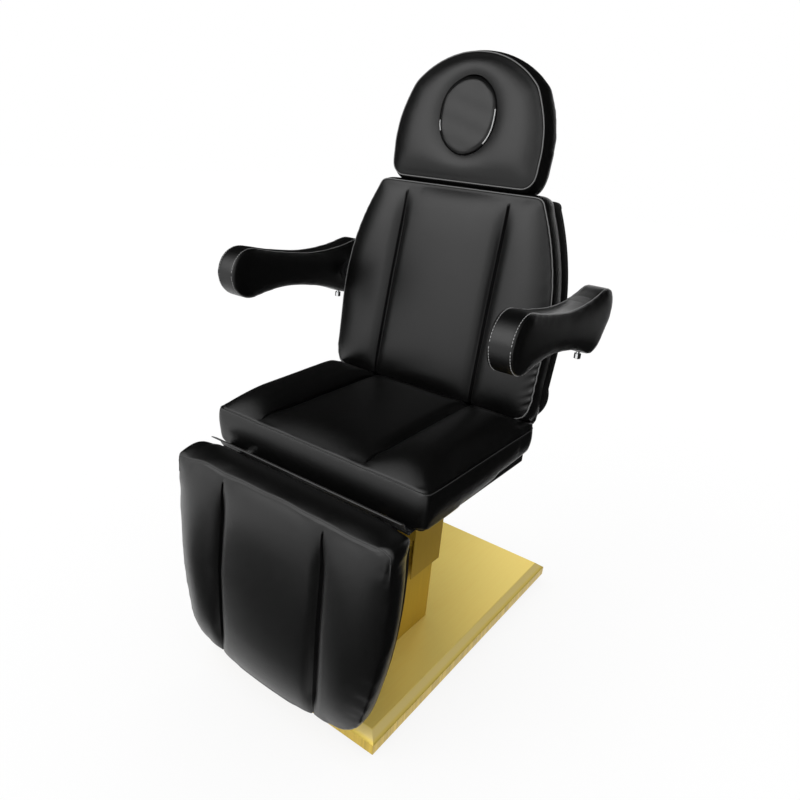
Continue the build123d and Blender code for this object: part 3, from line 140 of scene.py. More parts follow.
def gold_finish(name, deep, bright, stretch, rough, skirt=None, bevel=None):
    finish, start = new_finish(name)
    brushing = noise(start, 160, stretch, detail=4, rough=0.7)
    cloud = noise(start, 3, detail=2)
    share = ramp(start, brushing * 0.55 + cloud * 0.45, [(0.3, 0), (0.7, 1)])
    colour = blend(start, share, deep, bright)
    # The skirt colour is painted shade on the tray's upright side, and the bevel colour is a painted
    # highlight.
    if skirt:
        place = start.node("ShaderNodeTexCoord", output="Object")
        height = start.node("ShaderNodeSeparateXYZ", inputs={"Vector": place}, output="Z")
        streaks = noise(start, 90, (1, 1, 0.02), detail=3, rough=0.7)
        streaked = blend(start, streaks, skirt, deep)
        colour = blend(start, ramp(start, height, skirt_shade_heights), colour, streaked)
        colour = blend(start, ramp(start, height, bevel_highlight_heights), colour, bevel)
    return finish_with(
        finish, start,
        Base_Color=colour, Metallic=0.45,
        Roughness=brushing * 0.12 + (cloud * 0.08 + (rough - 0.1)),
        Normal=relief(start, brushing, 0.0002, 0.25),
    )


along_y, along_z = (1, 0.05, 1), (1, 1, 0.05)
# The tray's skirt colour is painted shade, and its bevel colour a painted highlight.
tray_gold = gold_finish(
    "gold tray", deep=(0.95, 0.67, 0.090), bright=(1.0, 0.79, 0.15), stretch=along_y, rough=0.34,
    skirt=(0.14, 0.095, 0.015), bevel=(1.0, 0.79, 0.29),
)
# The covers are painted darker than the tray's gold, as painted shade on the upright column; the upper
# cover's copy is darker still, more painted shade.
cover_gold_painted_shade = gold_finish(
    "gold covers", deep=(0.43, 0.265, 0.020), bright=(0.54, 0.35, 0.035), stretch=along_z, rough=0.34
)
shaded_gold = gold_finish(
    "gold upper cover", deep=(0.31, 0.19, 0.012), bright=(0.41, 0.26, 0.022), stretch=along_z, rough=0.36
)
give(tray_gold, "base_tray")
give(cover_gold_painted_shade, "column_lower_cover")
give(shaded_gold, "column_upper_cover")


# Four rubber feet hold the tray off the floor. Inside stand the frame of square tube, the mast,
# its bolts and glide pads, and the motors that lift the seat, tilt the back and raise the leg rest.
# They are powder coated, plated, turned or moulded, as such parts are.
def plain_finish(name, deep, bright, scale, rough, metal=0.0, bump=0.0002, stretch=(1, 1, 1)):
    finish, start = new_finish(name)
    grain = noise(start, scale, stretch, detail=4, rough=0.6)
    cloud = noise(start, 9, detail=2)
    return finish_with(
        finish, start,
        Base_Color=blend(start, grain * 0.6 + cloud * 0.4, deep, bright), Metallic=metal,
        Roughness=grain * 0.14 + (cloud * 0.08 + (rough - 0.11)),
        Normal=relief(start, grain, bump, 0.35),
    )


finishes = {
    "rubber": plain_finish(
        "foot rubber", deep=(0.008, 0.008, 0.008), bright=(0.018, 0.018, 0.017), scale=400, rough=0.7
    ),
    "black_frame_paint": plain_finish(
        "black powder coat", deep=(0.009, 0.009, 0.010), bright=(0.02, 0.02, 0.021), scale=900, rough=0.45
    ),
    "steel": plain_finish(
        "plated steel", deep=(0.50, 0.50, 0.49), bright=(0.64, 0.64, 0.63), scale=300, rough=0.34,
        metal=1.0, bump=0.0001, stretch=(1, 1, 0.1),
    ),
    "chrome": plain_finish(
        "polished chrome", deep=(0.76, 0.77, 0.78), bright=(0.84, 0.85, 0.86), scale=60, rough=0.12,
        metal=1.0, bump=0.00005,
    ),
    "aluminium": plain_finish(
        "cast aluminium", deep=(0.58, 0.59, 0.60), bright=(0.70, 0.71, 0.72), scale=500, rough=0.4,
        metal=1.0,
    ),
    "black_plastic": plain_finish(
        "black moulding", deep=(0.011, 0.011, 0.012), bright=(0.024, 0.024, 0.025), scale=1200, rough=0.42,
        bump=0.0001,
    ),
    "covered_board": plain_finish(
        "board cloth", deep=(0.003, 0.003, 0.003), bright=(0.006, 0.006, 0.006), scale=700, rough=0.6,
        bump=0.0003,
    ),
}
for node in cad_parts.values():
    for entry in node.material_slots:
        if entry.material and entry.material.name in finishes:
            entry.material = finishes[entry.material.name]


# Seat cushion: foam under black leatherette, two channels sewn through it from back to front.
# The top panel is sewn to an upright band along the front and the sides.
# The band is stapled under the plywood seat.
def leather_finish(name, deep, bright, rough, level):
    finish, start = new_finish(name)
    place = start.node("ShaderNodeTexCoord", output="Object")
    cells = start.node(
        "ShaderNodeTexVoronoi", {"feature": "DISTANCE_TO_EDGE"},
        {"Vector": place, "Scale": 620, "Randomness": 1.0},
    )
    pores = ramp(start, cells, [(0.0, 0), (0.16, 1)])
    wear = noise(start, 5, detail=3)
    fine = noise(start, 240, detail=3)
    return finish_with(
        finish, start,
        Base_Color=blend(start, wear * 0.7 + pores * 0.3, deep, bright),
        Roughness=wear * 0.1 + (fine * 0.08 + (rough - 0.09)),
        Specular_IOR_Level=level,
        Normal=relief(start, pores * 0.6 + fine * 0.4, 0.0003, 0.3),
    )


leather = leather_finish(
    "black leatherette", deep=(0.0015, 0.0015, 0.0015), bright=(0.003, 0.003, 0.003), rough=0.32, level=0.44
)
# The seam thread is a little paler than the leatherette: its own dark colour, plus a painted highlight
# along each seam.
thread = plain_finish(
    "seam thread", deep=(0.025, 0.025, 0.025), bright=(0.042, 0.042, 0.042), scale=900, rough=0.5
)
pad_voxel = 0.0075
pad_half_width = 0.300
channel_x = 0.147
channel_hold = 0.0045
stitch_half_width = 0.0032
valley_half_width = 0.030
channel_cuts = (-0.012, -stitch_half_width, 0, stitch_half_width, 0.012)
outline_gap, seam_gap = 0.002, 0.006


def only(piece):
    bpy.ops.object.select_all(action="DESELECT")
    piece.select_set(True)
    bpy.context.view_layer.objects.active = piece


def apply_modifiers(piece):
    only(piece)
    for modifier in list(piece.modifiers):
        bpy.ops.object.modifier_apply(modifier=modifier.name)


def pad_copy(name, node, place, voxel):
    """Copies a CAD pad into the pad's own axes: first across, second along, third out of its board."""
    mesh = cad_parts[node].data.copy()
    mesh.materials.clear()
    piece = bpy.data.objects.new(name, mesh)
    bpy.context.scene.collection.objects.link(piece)
    shape = bmesh.new()
    shape.from_mesh(mesh)
    shape.transform(place.inverted())
    bmesh.ops.remove_doubles(shape, verts=shape.verts, dist=0.00002)
    shape.to_mesh(mesh)
    shape.free()
    remesh = piece.modifiers.new("remesh", "REMESH")
    remesh.mode = "VOXEL"
    remesh.voxel_size = voxel
    smooth = piece.modifiers.new("smooth", "SMOOTH")
    smooth.factor = 0.5
    smooth.iterations = 3
    apply_modifiers(piece)
    return piece


def places_of(piece):
    places = np.empty(len(piece.data.vertices) * 3)
    piece.data.vertices.foreach_get("co", places)
    return places.reshape(-1, 3)


def normals_of(piece):
    normals = np.empty(len(piece.data.vertices) * 3)
    piece.data.vertices.foreach_get("normal", normals)
    return normals.reshape(-1, 3)


def put_places(piece, places):
    piece.data.vertices.foreach_set("co", places.reshape(-1))
    piece.data.update()


def smooth_step(low, high, values):
    t = np.clip((values - low) / (high - low), 0, 1)
    return t * t * (3 - 2 * t)


def inflate(piece, pinned, cap, pressure=120.0):
    """Blows the pad up as cloth, held where pinned is near 1. No point moves by more than cap."""
    last_step = 14
    start = places_of(piece)
    held = piece.vertex_groups.new(name="sewn")
    for share in (0.35, 0.7, 1.0):
        chosen = np.nonzero((pinned > share - 0.2) & (pinned <= share + 0.15))[0]
        held.add([int(i) for i in chosen], share, "REPLACE")
    cloth = piece.modifiers.new("cloth", "CLOTH")
    cloth.settings.quality = 3
    cloth.settings.mass = 0.3
    cloth.settings.tension_stiffness = 5
    cloth.settings.compression_stiffness = 5
    cloth.settings.shear_stiffness = 3
    cloth.settings.bending_stiffness = 0.5
    cloth.settings.use_pressure = True
    cloth.settings.uniform_pressure_force = pressure
    cloth.settings.vertex_group_mass = "sewn"
    cloth.settings.effector_weights.gravity = 0
    cloth.collision_settings.use_collision = False
    cloth.collision_settings.use_self_collision = False
    cloth.point_cache.frame_end = last_step
    for step in range(1, last_step + 1):
        bpy.context.scene.frame_set(step)
    graph = bpy.context.evaluated_depsgraph_get()
    puffed = piece.evaluated_get(graph).to_mesh()
    ended = np.empty(len(puffed.vertices) * 3)
    puffed.vertices.foreach_get("co", ended)
    piece.evaluated_get(graph).to_mesh_clear()
    piece.modifiers.remove(cloth)
    piece.vertex_groups.clear()
    bpy.context.scene.frame_set(1)
    moved = ended.reshape(-1, 3) - start
    length = np.linalg.norm(moved, axis=1, keepdims=True)
    limit = cap * np.tanh(length / cap)
    put_places(piece, start + moved * limit / np.maximum(length, 1e-9))


def subdivide(piece):
    finer = piece.modifiers.new("finer", "SUBSURF")
    finer.levels = 1
    finer.render_levels = 1
    apply_modifiers(piece)


def score(piece, axis, levels):
    """Cuts an edge loop into the mesh at each level, so that a crease there stays sharp."""
    shape = bmesh.new()
    shape.from_mesh(piece.data)
    normal = [0, 0, 0]
    normal[axis] = 1
    for level in levels:
        everything = shape.verts[:] + shape.edges[:] + shape.faces[:]
        point = [level * part for part in normal]
        bmesh.ops.bisect_plane(shape, geom=everything, dist=0.0003, plane_co=point, plane_no=normal)
    shape.to_mesh(piece.data)
    shape.free()


def dress(piece, finish, body, replaced=()):
    piece.data.materials.clear()
    piece.data.materials.append(finish)
    only(piece)
    bpy.ops.object.shade_smooth()
    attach(piece, body)
    for node in replaced:
        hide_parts(node)


def contour(piece, point, normal):
    """The longest line in which a plane cuts the piece."""
    shape = bmesh.new()
    shape.from_mesh(piece.data)
    cut = bmesh.ops.bisect_plane(
        shape, geom=shape.verts[:] + shape.edges[:] + shape.faces[:], plane_co=point, plane_no=normal
    )
    links = {}
    for edge in cut["geom_cut"]:
        if isinstance(edge, bmesh.types.BMEdge):
            a, b = edge.verts
            links.setdefault(a, []).append(b)
            links.setdefault(b, []).append(a)
    loops = []
    left = set(links)
    while left:
        first = min(left, key=lambda v: tuple(v.co))
        loop = [first]
        left.discard(first)
        while True:
            nexts = [v for v in links[loop[-1]] if v in left]
            if not nexts:
                break
            loop.append(nexts[0])
            left.discard(nexts[0])
        loops.append([v.co.copy() for v in loop])
    shape.free()
    return max(loops, key=len)


def spaced(points, gap):
    """The same closed line, its points an even gap apart."""
    ring = points + [points[0]]
    lengths = [0.0]
    for a, b in zip(ring, ring[1:]):
        lengths.append(lengths[-1] + (b - a).length)
    count = max(4, round(lengths[-1] / gap))
    out = []
    at = 0
    for want in (lengths[-1] * i / count for i in range(count)):
        while at < len(ring) - 2 and lengths[at + 1] < want:
            at += 1
        span = max(lengths[at + 1] - lengths[at], 1e-9)
        out.append(ring[at].lerp(ring[at + 1], (want - lengths[at]) / span))
    return out


def outline_at(piece, level, gap):
    return spaced(contour(piece, (0, 0, level), (0, 0, 1)), gap)


def settle(points, piece, lift=0.0):
    """Lays a line on the piece's skin, with its middle lifted off it."""
    skin = BVHTree.FromPolygons(
        [v.co for v in piece.data.vertices], [p.vertices[:] for p in piece.data.polygons]
    )
    out = []
    for point in points:
        spot, normal, _, _ = skin.find_nearest(point)
        out.append(spot + normal * lift)
    return out


def threads(name, runs, radius, closed=True, sides=2):
    """One mesh of round threads, each along one run of points."""
    line = bpy.data.curves.new(name, "CURVE")
    line.dimensions = "3D"
    line.bevel_depth = radius
    line.bevel_resolution = sides
    line.use_fill_caps = not closed
    for run in runs:
        spline = line.splines.new("POLY")
        spline.points.add(len(run) - 1)
        for dot, point in zip(spline.points, run):
            dot.co = (*point, 1)
        spline.use_cyclic_u = closed
    shown = bpy.data.objects.new(name, line)
    bpy.context.scene.collection.objects.link(shown)
    only(shown)
    bpy.ops.object.convert(target="MESH")
    return bpy.context.view_layer.objects.active


def inside_by(points, line):
    """How far each point lies from a closed line, both seen along the third axis."""
    line = np.array([[p[0], p[1]] for p in line])
    best = np.full(len(points), 1e9)
    for some in np.array_split(line, max(1, len(line) // 60)):
        gaps = np.hypot(points[:, 0, None] - some[None, :, 0], points[:, 1, None] - some[None, :, 1])
        best = np.minimum(best, gaps.min(axis=1))
    return best


def dome(distance, radius):
    """0 at an edge, rising to 1 at a radius inside it."""
    return 1 - (1 - np.clip(distance / radius, 0, 1)) ** 2


def panels(u, half_width, outer_crown):
    """Crown of the three panels: 0 at the channels and the outer edges, and 1 half way between them."""
    across = np.abs(u)
    middle = 1 - np.clip(across / channel_x, 0, 1) ** 2
    centre = (channel_x + half_width) / 2
    reach = (half_width - channel_x) / 2
    outer = 1 - np.clip(np.abs(across - centre) / reach, 0, 1) ** 2
    return np.where(across < channel_x, middle, outer * outer_crown)


def fill_out(
    piece, root, seam, new_seam, front, rear, rise, radius, crown, half_width, sunk=None, outer_crown=1.0
):
    """Fills out a pad. Its sides run from the root to the seam, which moves to new_seam.
    They spread by rear at the root and by front at the seam.
    The face rises within a radius of the seam, and has a crown on each panel.
    """
    outline = outline_at(piece, seam, outline_gap)
    places = places_of(piece)
    normals = normals_of(piece)
    u, v, w = places.T
    inner = inside_by(places, outline)
    ends = np.minimum(v - v.min(), v.max() - v)
    end_fade, edge_fade = 0.12, 0.05
    puff = crown * panels(u, half_width, outer_crown) * dome(ends, end_fade) * dome(inner, edge_fade)
    face = new_seam + rise * dome(inner, radius) + puff
    if sunk is not None:
        face = sunk(u, v, face)
    side = root + (w - root) * (new_seam - root) / (seam - root)
    new = np.where(w > seam + 0.0003, np.maximum(face, new_seam), side)
    share = np.clip((side - root) / (new_seam - root), 0, 1)
    spread = front * share + rear * (1 - share)
    out = places.copy()
    out[:, 2] = new
    out[:, :2] += normals[:, :2] * spread[:, None]
    put_places(piece, out)


def square_off(piece, amount, chosen):
    """Pushes the round corners outwards, so that they are less round."""
    places = places_of(piece)
    normals = normals_of(piece)
    level = np.hypot(normals[:, 0], normals[:, 1])
    turned = normals[:, :2] / np.maximum(level, 1e-6)[:, None]
    square = np.maximum((np.abs(turned) ** 4).sum(axis=1), 0.5) ** -0.25 - 1
    push = amount * square * smooth_step(0.3, 0.8, level) * chosen(places)
    places[:, :2] += normals[:, :2] * push[:, None]
    put_places(piece, places)


def sew_channels(piece, broad, narrow, inward, front):
    """Presses a soft valley along each channel, and a sharp stitched line in the middle of it."""
    score(piece, 0, [way * channel_x + off for way in (-1, 1) for off in channel_cuts])
    places = places_of(piece)
    channels = np.abs(np.abs(places[:, 0]) - channel_x)
    gap = inward(places)
    valley = broad * np.clip(1 - channels / valley_half_width, 0, 1) ** 2 * smooth_step(0, 0.10, gap)
    stitch = narrow * np.clip(1 - channels / stitch_half_width, 0, 1) * smooth_step(0, 0.008, gap)
    places -= normals_of(piece) * ((valley + stitch) * front(places))[:, None]
    put_places(piece, places)


def drift(places, stations, left, right):
    """Moves the two channels sideways, by so much at each station, and less towards the pad's sides."""
    u, v = places[:, 0], places[:, 1]
    first, second = np.interp(v, stations, left), np.interp(v, stations, right)
    middle = (u + channel_x) / (2 * channel_x)
    between = first * (1 - middle) + second * middle
    fade = np.clip((pad_half_width - np.abs(u)) / (pad_half_width - channel_x), 0, 1)
    outer = np.where(u < 0, first, second) * fade
    places[:, 0] = u + np.where(np.abs(u) < channel_x, between, outer)


def sew_seam(piece, level, depth, reach=None):
    half_width = 0.003
    score(piece, 2, [level - half_width, level, level + half_width])
    places = places_of(piece)
    line = np.clip(1 - np.abs(places[:, 2] - level) / half_width, 0, 1)
    normals = normals_of(piece)
    outer = (np.hypot(normals[:, 0], normals[:, 1]) > 0.35) * (1 if reach is None else reach(places))
    places -= normals * (depth * line * outer)[:, None]
    put_places(piece, places)


seat_seam_level = 0.654
seat_front_y, seat_climb = -0.351, 0.046
dip_y, dip_z, dip_slope = 0.0622, 0.6826, 0.3706


def seat_under_back(u, v, face):
    """The seat's face climbs to the rear, then dips to pass under the backrest."""
    climbing = face + (v - seat_front_y) * seat_climb
    dipping = dip_z + (dip_y - v) * dip_slope
    return np.minimum(climbing, dipping)


seat_low, seat_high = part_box("seat_cushion")
seat = pad_copy("seat_padding", "seat_cushion", Matrix.Identity(4), pad_voxel)
fill_out(
    seat, root=0.576, seam=0.652, new_seam=seat_seam_level, front=0.005, rear=0.002,
    rise=0.015, radius=0.045, crown=0.013, half_width=0.300, sunk=seat_under_back, outer_crown=2.1,
)
square_off(seat, 0.040, lambda p: 1 - smooth_step(-0.2, 0.0, p[:, 1]))
places = places_of(seat)
x, y, z = places.T

# The band is drawn down round the front and the sides of the board.
drawn_down = (np.abs(x) > 0.290) | (y < -0.341)
places[:, 2] -= 0.014 * (1 - smooth_step(0.580, 0.605, z)) * drawn_down
put_places(seat, places)

channels = np.abs(np.abs(x) - channel_x)
edge = np.minimum(np.minimum(seat_high[0] - np.abs(x), y - seat_low[1]), seat_high[1] - y)
stapled = z < 0.59
in_channel = (channels < channel_hold) & (z > 0.657)
at_seam = (np.abs(z - seat_seam_level) < 0.005) & (edge < 0.02)
under_back = y > 0.035
inflate(seat, (stapled | in_channel | at_seam | under_back) * 1.0, cap=0.006)
subdivide(seat)
seam_line = outline_at(seat, seat_seam_level - 0.0025, seam_gap)
sew_channels(
    seat, broad=0.010, narrow=0.008,
    inward=lambda p: p[:, 1] - seat_low[1] - 0.014,
    front=lambda p: smooth_step(0.655, 0.662, p[:, 2]),
)
sew_seam(seat, seat_seam_level, depth=0.002)
places = places_of(seat)
drift(places, stations=(-0.351, -0.25, 0.03), left=(-0.018, -0.012, 0.0), right=(-0.010, -0.006, 0.0))
put_places(seat, places)
dress(seat, leather, "seat", ["seat_cushion"])

seat_seam = threads("seat_seam", [settle(seam_line, seat, lift=0.0003)], radius=0.0010)
dress(seat_seam, thread, "seat")


# Leg rest cushion: the same foam and leatherette, on its board that hangs from the seat's front.
# Its two channels start just under the top seam and run down round the sole.
# The top seam is not quite straight, because the panel was pulled down by hand.
def move_to(piece, place):
    piece.data.transform(place)
    piece.data.update()


leg_seam_level, leg_board_y = 0.080, -0.386
leg_place = Matrix(((1, 0, 0, 0), (0, 0, -1, leg_board_y), (0, 1, 0, 0), (0, 0, 0, 1)))
leg = pad_copy("leg_rest_padding", "leg_cushion", leg_place, pad_voxel)
fill_out(
    leg, root=0.0, seam=0.076, new_seam=leg_seam_level, front=0.016, rear=0.002,
    rise=0.004, radius=0.026, crown=0.009, half_width=0.294,
)
square_off(leg, 0.100, lambda p: smooth_step(0.44, 0.52, p[:, 1]))
places = places_of(leg)
u, v, w = places.T

# The rear of the top is drawn up to the strip, less so at its ends.
top = smooth_step(0.530, 0.552, v) * np.clip(1 - w / 0.078, 0, 1) ** 0.9
places[:, 1] += 0.024 * top * (1 - 0.6 * smooth_step(0.24, 0.30, np.abs(u)))
# The sole hangs lower in its middle.
sole = 1 - smooth_step(0.10, 0.17, v)
places[:, 1] -= 0.004 * sole * np.clip(1 - (u / 0.26) ** 2, 0, 1)
# The front's side edges are rounder than the top's.
side_edge = 1 - smooth_step(0.0, 0.028, 0.310 - np.abs(u))
places[:, 2] -= 0.007 * side_edge * smooth_step(0.05, 0.08, w) * (1 - smooth_step(0.46, 0.53, v))
# The two bottom corners are drawn up.
bottom = 1 - smooth_step(0.09, 0.17, v)
places[:, 1] += 0.009 * bottom * smooth_step(0.17, 0.29, np.abs(u))
# The -X side bellies out below its top corner, and that corner sags.
belly = smooth_step(0.10, 0.22, v) * (1 - smooth_step(0.40, 0.54, v))
places[:, 0] -= 0.012 * smooth_step(0.27, 0.31, -u) * belly
corner = smooth_step(0.20, 0.30, -u) * smooth_step(0.48, 0.56, v) * smooth_step(0.02, 0.08, w)
places[:, 1] -= 0.014 * corner
put_places(leg, places)

channels = np.abs(np.abs(u) - channel_x)
edge_gap = inside_by(places, outline_at(leg, leg_seam_level - 0.003, outline_gap))
stapled = w < 0.012
in_channel = (channels < channel_hold) & (w > 0.06)
at_seam = (np.abs(w - leg_seam_level) < 0.0045) & (edge_gap < 0.012)
inflate(leg, (stapled | in_channel | at_seam) * 1.0, cap=0.007)
subdivide(leg)
seam_line = outline_at(leg, leg_seam_level - 0.0025, seam_gap)
sew_channels(
    leg, broad=0.010, narrow=0.008,
    inward=lambda p: 0.556 - p[:, 1],
    front=lambda p: smooth_step(0.030, 0.070, p[:, 2]) * (0.4 + 0.6 * smooth_step(0.09, 0.15, p[:, 1])),
)
sew_seam(leg, leg_seam_level, depth=0.002, reach=lambda p: smooth_step(0.50, 0.53, p[:, 1]))
seam_line = sorted((point for point in seam_line if point[1] > 0.52), key=lambda point: point[0])
leg_seam = threads("leg_rest_seam", [settle(seam_line, leg, lift=0.0003)], radius=0.0010, closed=False)

places = places_of(leg)
drift(
    places, stations=(0.08, 0.14, 0.32, 0.545),
    left=(-0.012, -0.014, -0.020, 0.0), right=(-0.010, -0.010, -0.010, -0.004),
)
put_places(leg, places)
for piece in (leg, leg_seam):
    places = places_of(piece)
    u, v, w = places.T
    sway = 0.0018 * np.sin(u * 17 + 1) + 0.0011 * np.sin(u * 53)
    near = np.clip(1 - np.abs(w - leg_seam_level) / 0.03, 0, 1) * smooth_step(0.50, 0.545, v)
    places[:, 1] += sway * near
    put_places(piece, places)
    move_to(piece, leg_place)
dress(leg, leather, "leg_rest", ["leg_cushion"])
dress(leg_seam, thread, "leg_rest")
for piece in (leg, leg_seam):
    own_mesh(piece)


# A curved strip hides the gap between the seat and the leg rest. It is pressed from thin black sheet,
# its lip rolls forward, and its bead turns in the slotted rail.
strip_reach, strip_thickness, strip_lean = 0.038, 0.0024, math.radians(32)
bead_middle_x, bead_y, bead_z = -0.0045, -0.359, 0.562
bead_radius, bead_length = 0.003, 0.533
bpy.ops.mesh.primitive_grid_add(x_subdivisions=60, y_subdivisions=10, size=1, location=(0, 0, 0))
strip = bpy.context.active_object
strip.name = "gap_strip"
places = places_of(strip)
across, along = places[:, 0] + 0.5, places[:, 1] + 0.5
reach = strip_reach * along
roll = 0.007 * along ** 3 - 0.003 * np.sin(along * math.pi) * smooth_step(0.25, 0.6, along)
left_end = -0.272 - 0.014 * along ** 2
right_end = 0.264 + 0.004 * along ** 2
places = np.stack([
    left_end + (right_end - left_end) * across,
    bead_y - reach * math.sin(strip_lean) - roll * math.cos(strip_lean),
    bead_z + reach * math.cos(strip_lean) - roll * math.sin(strip_lean),
], axis=1)
put_places(strip, places)
thick = strip.modifiers.new("thick", "SOLIDIFY")
thick.thickness = strip_thickness
thick.offset = 0
edges = strip.modifiers.new("edges", "BEVEL")
edges.width = 0.0008
edges.segments = 2
apply_modifiers(strip)
bpy.ops.mesh.primitive_cylinder_add(
    vertices=24, radius=bead_radius, depth=bead_length,
    location=(bead_middle_x, bead_y, bead_z), rotation=(0, math.pi / 2, 0),
)
bead = bpy.context.active_object
bpy.ops.object.transform_apply(location=True, rotation=True, scale=True)
rim = bead.modifiers.new("rim", "BEVEL")
rim.width = 0.0006
rim.segments = 2
apply_modifiers(bead)
only(strip)
bead.select_set(True)
bpy.ops.object.join()
strip_finish = plain_finish(
    "strip moulding", deep=(0.040, 0.040, 0.040), bright=(0.060, 0.060, 0.060), scale=500, rough=0.36
)
dress(strip, strip_finish, "flap", ["hinge_flap"])


# Backrest cushion: a wide crowned panel between two channels, and a narrower one on each side.
# A thin welt runs round the front panel, where it is sewn to the band that wraps the foam; it is painted
# pale, as a painted highlight.
# The band is stapled behind the board.
def swell(piece, axis, chosen, amount, root, seam):
    """Bows a side out between its root and its seam."""
    places = places_of(piece)
    share = np.clip((places[:, 2] - root) / (seam - root), 0, 1)
    places[:, axis] += chosen(places) * amount * 4 * share * (1 - share)
    put_places(piece, places)


def pucker(along, across, start, end, pitch, reach, depth, seed):
    """Small folds along an edge, where the leatherette is gathered."""
    inside = smooth_step(start, start + 0.02, along) * (1 - smooth_step(end - 0.02, end, along))
    fade = np.clip(1 - across / reach, 0, 1) ** 1.5 * (across > 0)
    wander = np.sin(along * 37 + seed) * 0.6 + np.sin(along * 91 + 2 * seed) * 0.4
    return depth * inside * fade * np.sin((along + across * 0.6) / pitch * 2 * math.pi + wander * 1.5)


# The welt and the headrest's rear piping are painted pale grey, as a painted highlight along them; the
# leatherette itself is black.
welt_painted_highlight = plain_finish(
    "welt leatherette", deep=(0.10, 0.10, 0.10), bright=(0.15, 0.15, 0.15), scale=700, rough=0.36
)
back_root, back_seam_level = -0.088, -0.007
back_foot_y, back_foot_z, back_lean = 0.063, 0.691, math.radians(6.3)
back_place = Matrix((
    (1, 0, 0, 0),
    (0, math.sin(back_lean), -math.cos(back_lean), back_foot_y),
    (0, math.cos(back_lean), math.sin(back_lean), back_foot_z),
    (0, 0, 0, 1),
))
back = pad_copy("back_padding", "back_cushion", back_place, pad_voxel)
fill_out(
    back, root=back_root, seam=-0.016, new_seam=back_seam_level, front=0.006, rear=0.0,
    rise=0.004, radius=0.026, crown=0.007, half_width=0.298,
)
square_off(back, 0.080, lambda p: 1 - smooth_step(0.05, 0.15, p[:, 1]))
swell(
    back, 1, lambda p: smooth_step(0.47, 0.485, p[:, 1]), amount=0.006, root=back_root, seam=back_seam_level
)
places = places_of(back)
u, v, w = places.T

# The lower corners sag behind the seam, and the upper ones stand out a little.
low_corner = smooth_step(0.20, 0.28, np.abs(u)) * (1 - smooth_step(0.0, 0.09, v))
places[:, 1] -= 0.020 * low_corner * (1 - smooth_step(-0.078, -0.050, w))
shoulder = smooth_step(0.27, 0.30, np.abs(u)) * smooth_step(0.36, 0.46, v)
places[:, 0] += np.sign(u) * 0.005 * shoulder
put_places(back, places)

channels = np.abs(np.abs(u) - channel_x)
edge_gap = inside_by(places, outline_at(back, back_seam_level - 0.003, outline_gap))
stapled = w < -0.075
in_channel = (channels < channel_hold) & (w > -0.02)
at_seam = (np.abs(w - back_seam_level) < 0.0045) & (edge_gap < 0.012)
on_seat = v < 0.0
inflate(back, np.maximum((stapled | in_channel | at_seam) * 1.0, on_seat * 0.7), cap=0.007)
subdivide(back)
seam_line = outline_at(back, back_seam_level - 0.0015, seam_gap)
sew_channels(
    back, broad=0.006, narrow=0.008,
    inward=lambda p: 0.474 - p[:, 1],
    front=lambda p: smooth_step(-0.024, -0.010, p[:, 2]),
)
places = places_of(back)
u, v, w = places.T
drift(places, stations=(0.0, 0.25, 0.45), left=(-0.013, -0.002, 0.010), right=(-0.009, -0.005, 0.0))
folds = pucker(
    v, pad_half_width - u, start=0.0, end=0.15, pitch=0.021, reach=0.035, depth=0.0016, seed=1.0
)
places += normals_of(back) * (folds * smooth_step(-0.03, -0.012, w))[:, None]
put_places(back, places)
start_at = min(range(len(seam_line)), key=lambda i: seam_line[i][1] + abs(seam_line[i][0]))
seam_line = seam_line[start_at:] + seam_line[:start_at]
seam_line = [point for point in seam_line if point[1] > 0.0 or abs(point[0]) > 0.25]
back_seam = threads("back_welt", [settle(seam_line, back, lift=0.0005)], radius=0.0015, closed=False)
for piece in (back, back_seam):
    move_to(piece, back_place)
dress(back, leather, "backrest", ["back_cushion"])
dress(back_seam, welt_painted_highlight, "backrest")


# Headrest: one crowned panel with an oval hole for the face, sewn to its band by a thin welt.
# Piping closes the band behind, at the lower corners. Two rods carry its board.
head_root, head_seam_level = -0.066, -0.006
hole_v, hole_half_width, hole_half_height = 0.655, 0.075, 0.088


def round_the_hole(u, v, face):
    """The face dips into the hole over its last 22 mm."""
    gap = (np.hypot(u / hole_half_width, (v - hole_v) / hole_half_height) - 1) * 0.081
    return face - 0.005 * (1 - dome(np.clip(gap, 0, 1), 0.022))


head = pad_copy("head_padding", "head_cushion", back_place, voxel=0.006)
fill_out(
    head, root=head_root, seam=-0.016, new_seam=head_seam_level, front=0.0, rear=0.013,
    rise=0.010, radius=0.050, crown=0.0, half_width=0.200, sunk=round_the_hole,
)
places = places_of(head)
u, v, w = places.T
shrink = 0.016 * smooth_step(0.62, 0.72, v) - 0.010 * (1 - smooth_step(0.54, 0.62, v))
places[:, 0] = u * (1 - shrink * smooth_step(-0.06, -0.01, w)) + 0.0015
places[:, 1] += 0.003 * smooth_step(0.70, 0.78, v)
put_places(head, places)
swell(
    head, 1, lambda p: smooth_step(0.53, 0.512, p[:, 1]) * -1,
    amount=0.005, root=head_root, seam=head_seam_level,
)
places = places_of(head)
u, v, w = places.T
hole = np.hypot(u / hole_half_width, (v - hole_v) / hole_half_height)
stapled = w < -0.058
at_seam = (np.abs(w - head_seam_level) < 0.004) & (hole > 1.3)
at_hole = hole < 1.06
inflate(head, (stapled | at_seam | at_hole) * 1.0, cap=0.007)
subdivide(head)
head_seam_line = settle(outline_at(head, head_seam_level - 0.0015, seam_gap), head, lift=0.0005)
head_seam = threads("head_welt", [head_seam_line], radius=0.0016)
rear_line = settle(outline_at(head, -0.050, 0.005), head, lift=0.0004)
lower = [point for point in rear_line if abs(point[0]) > 0.165 and point[1] < 0.60]
piping = []
for way in (-1, 1):
    run = [point for point in lower if point[0] * way > 0]
    piping.append(sorted(run, key=lambda point: point[1] + abs(point[0]) * -0.4))
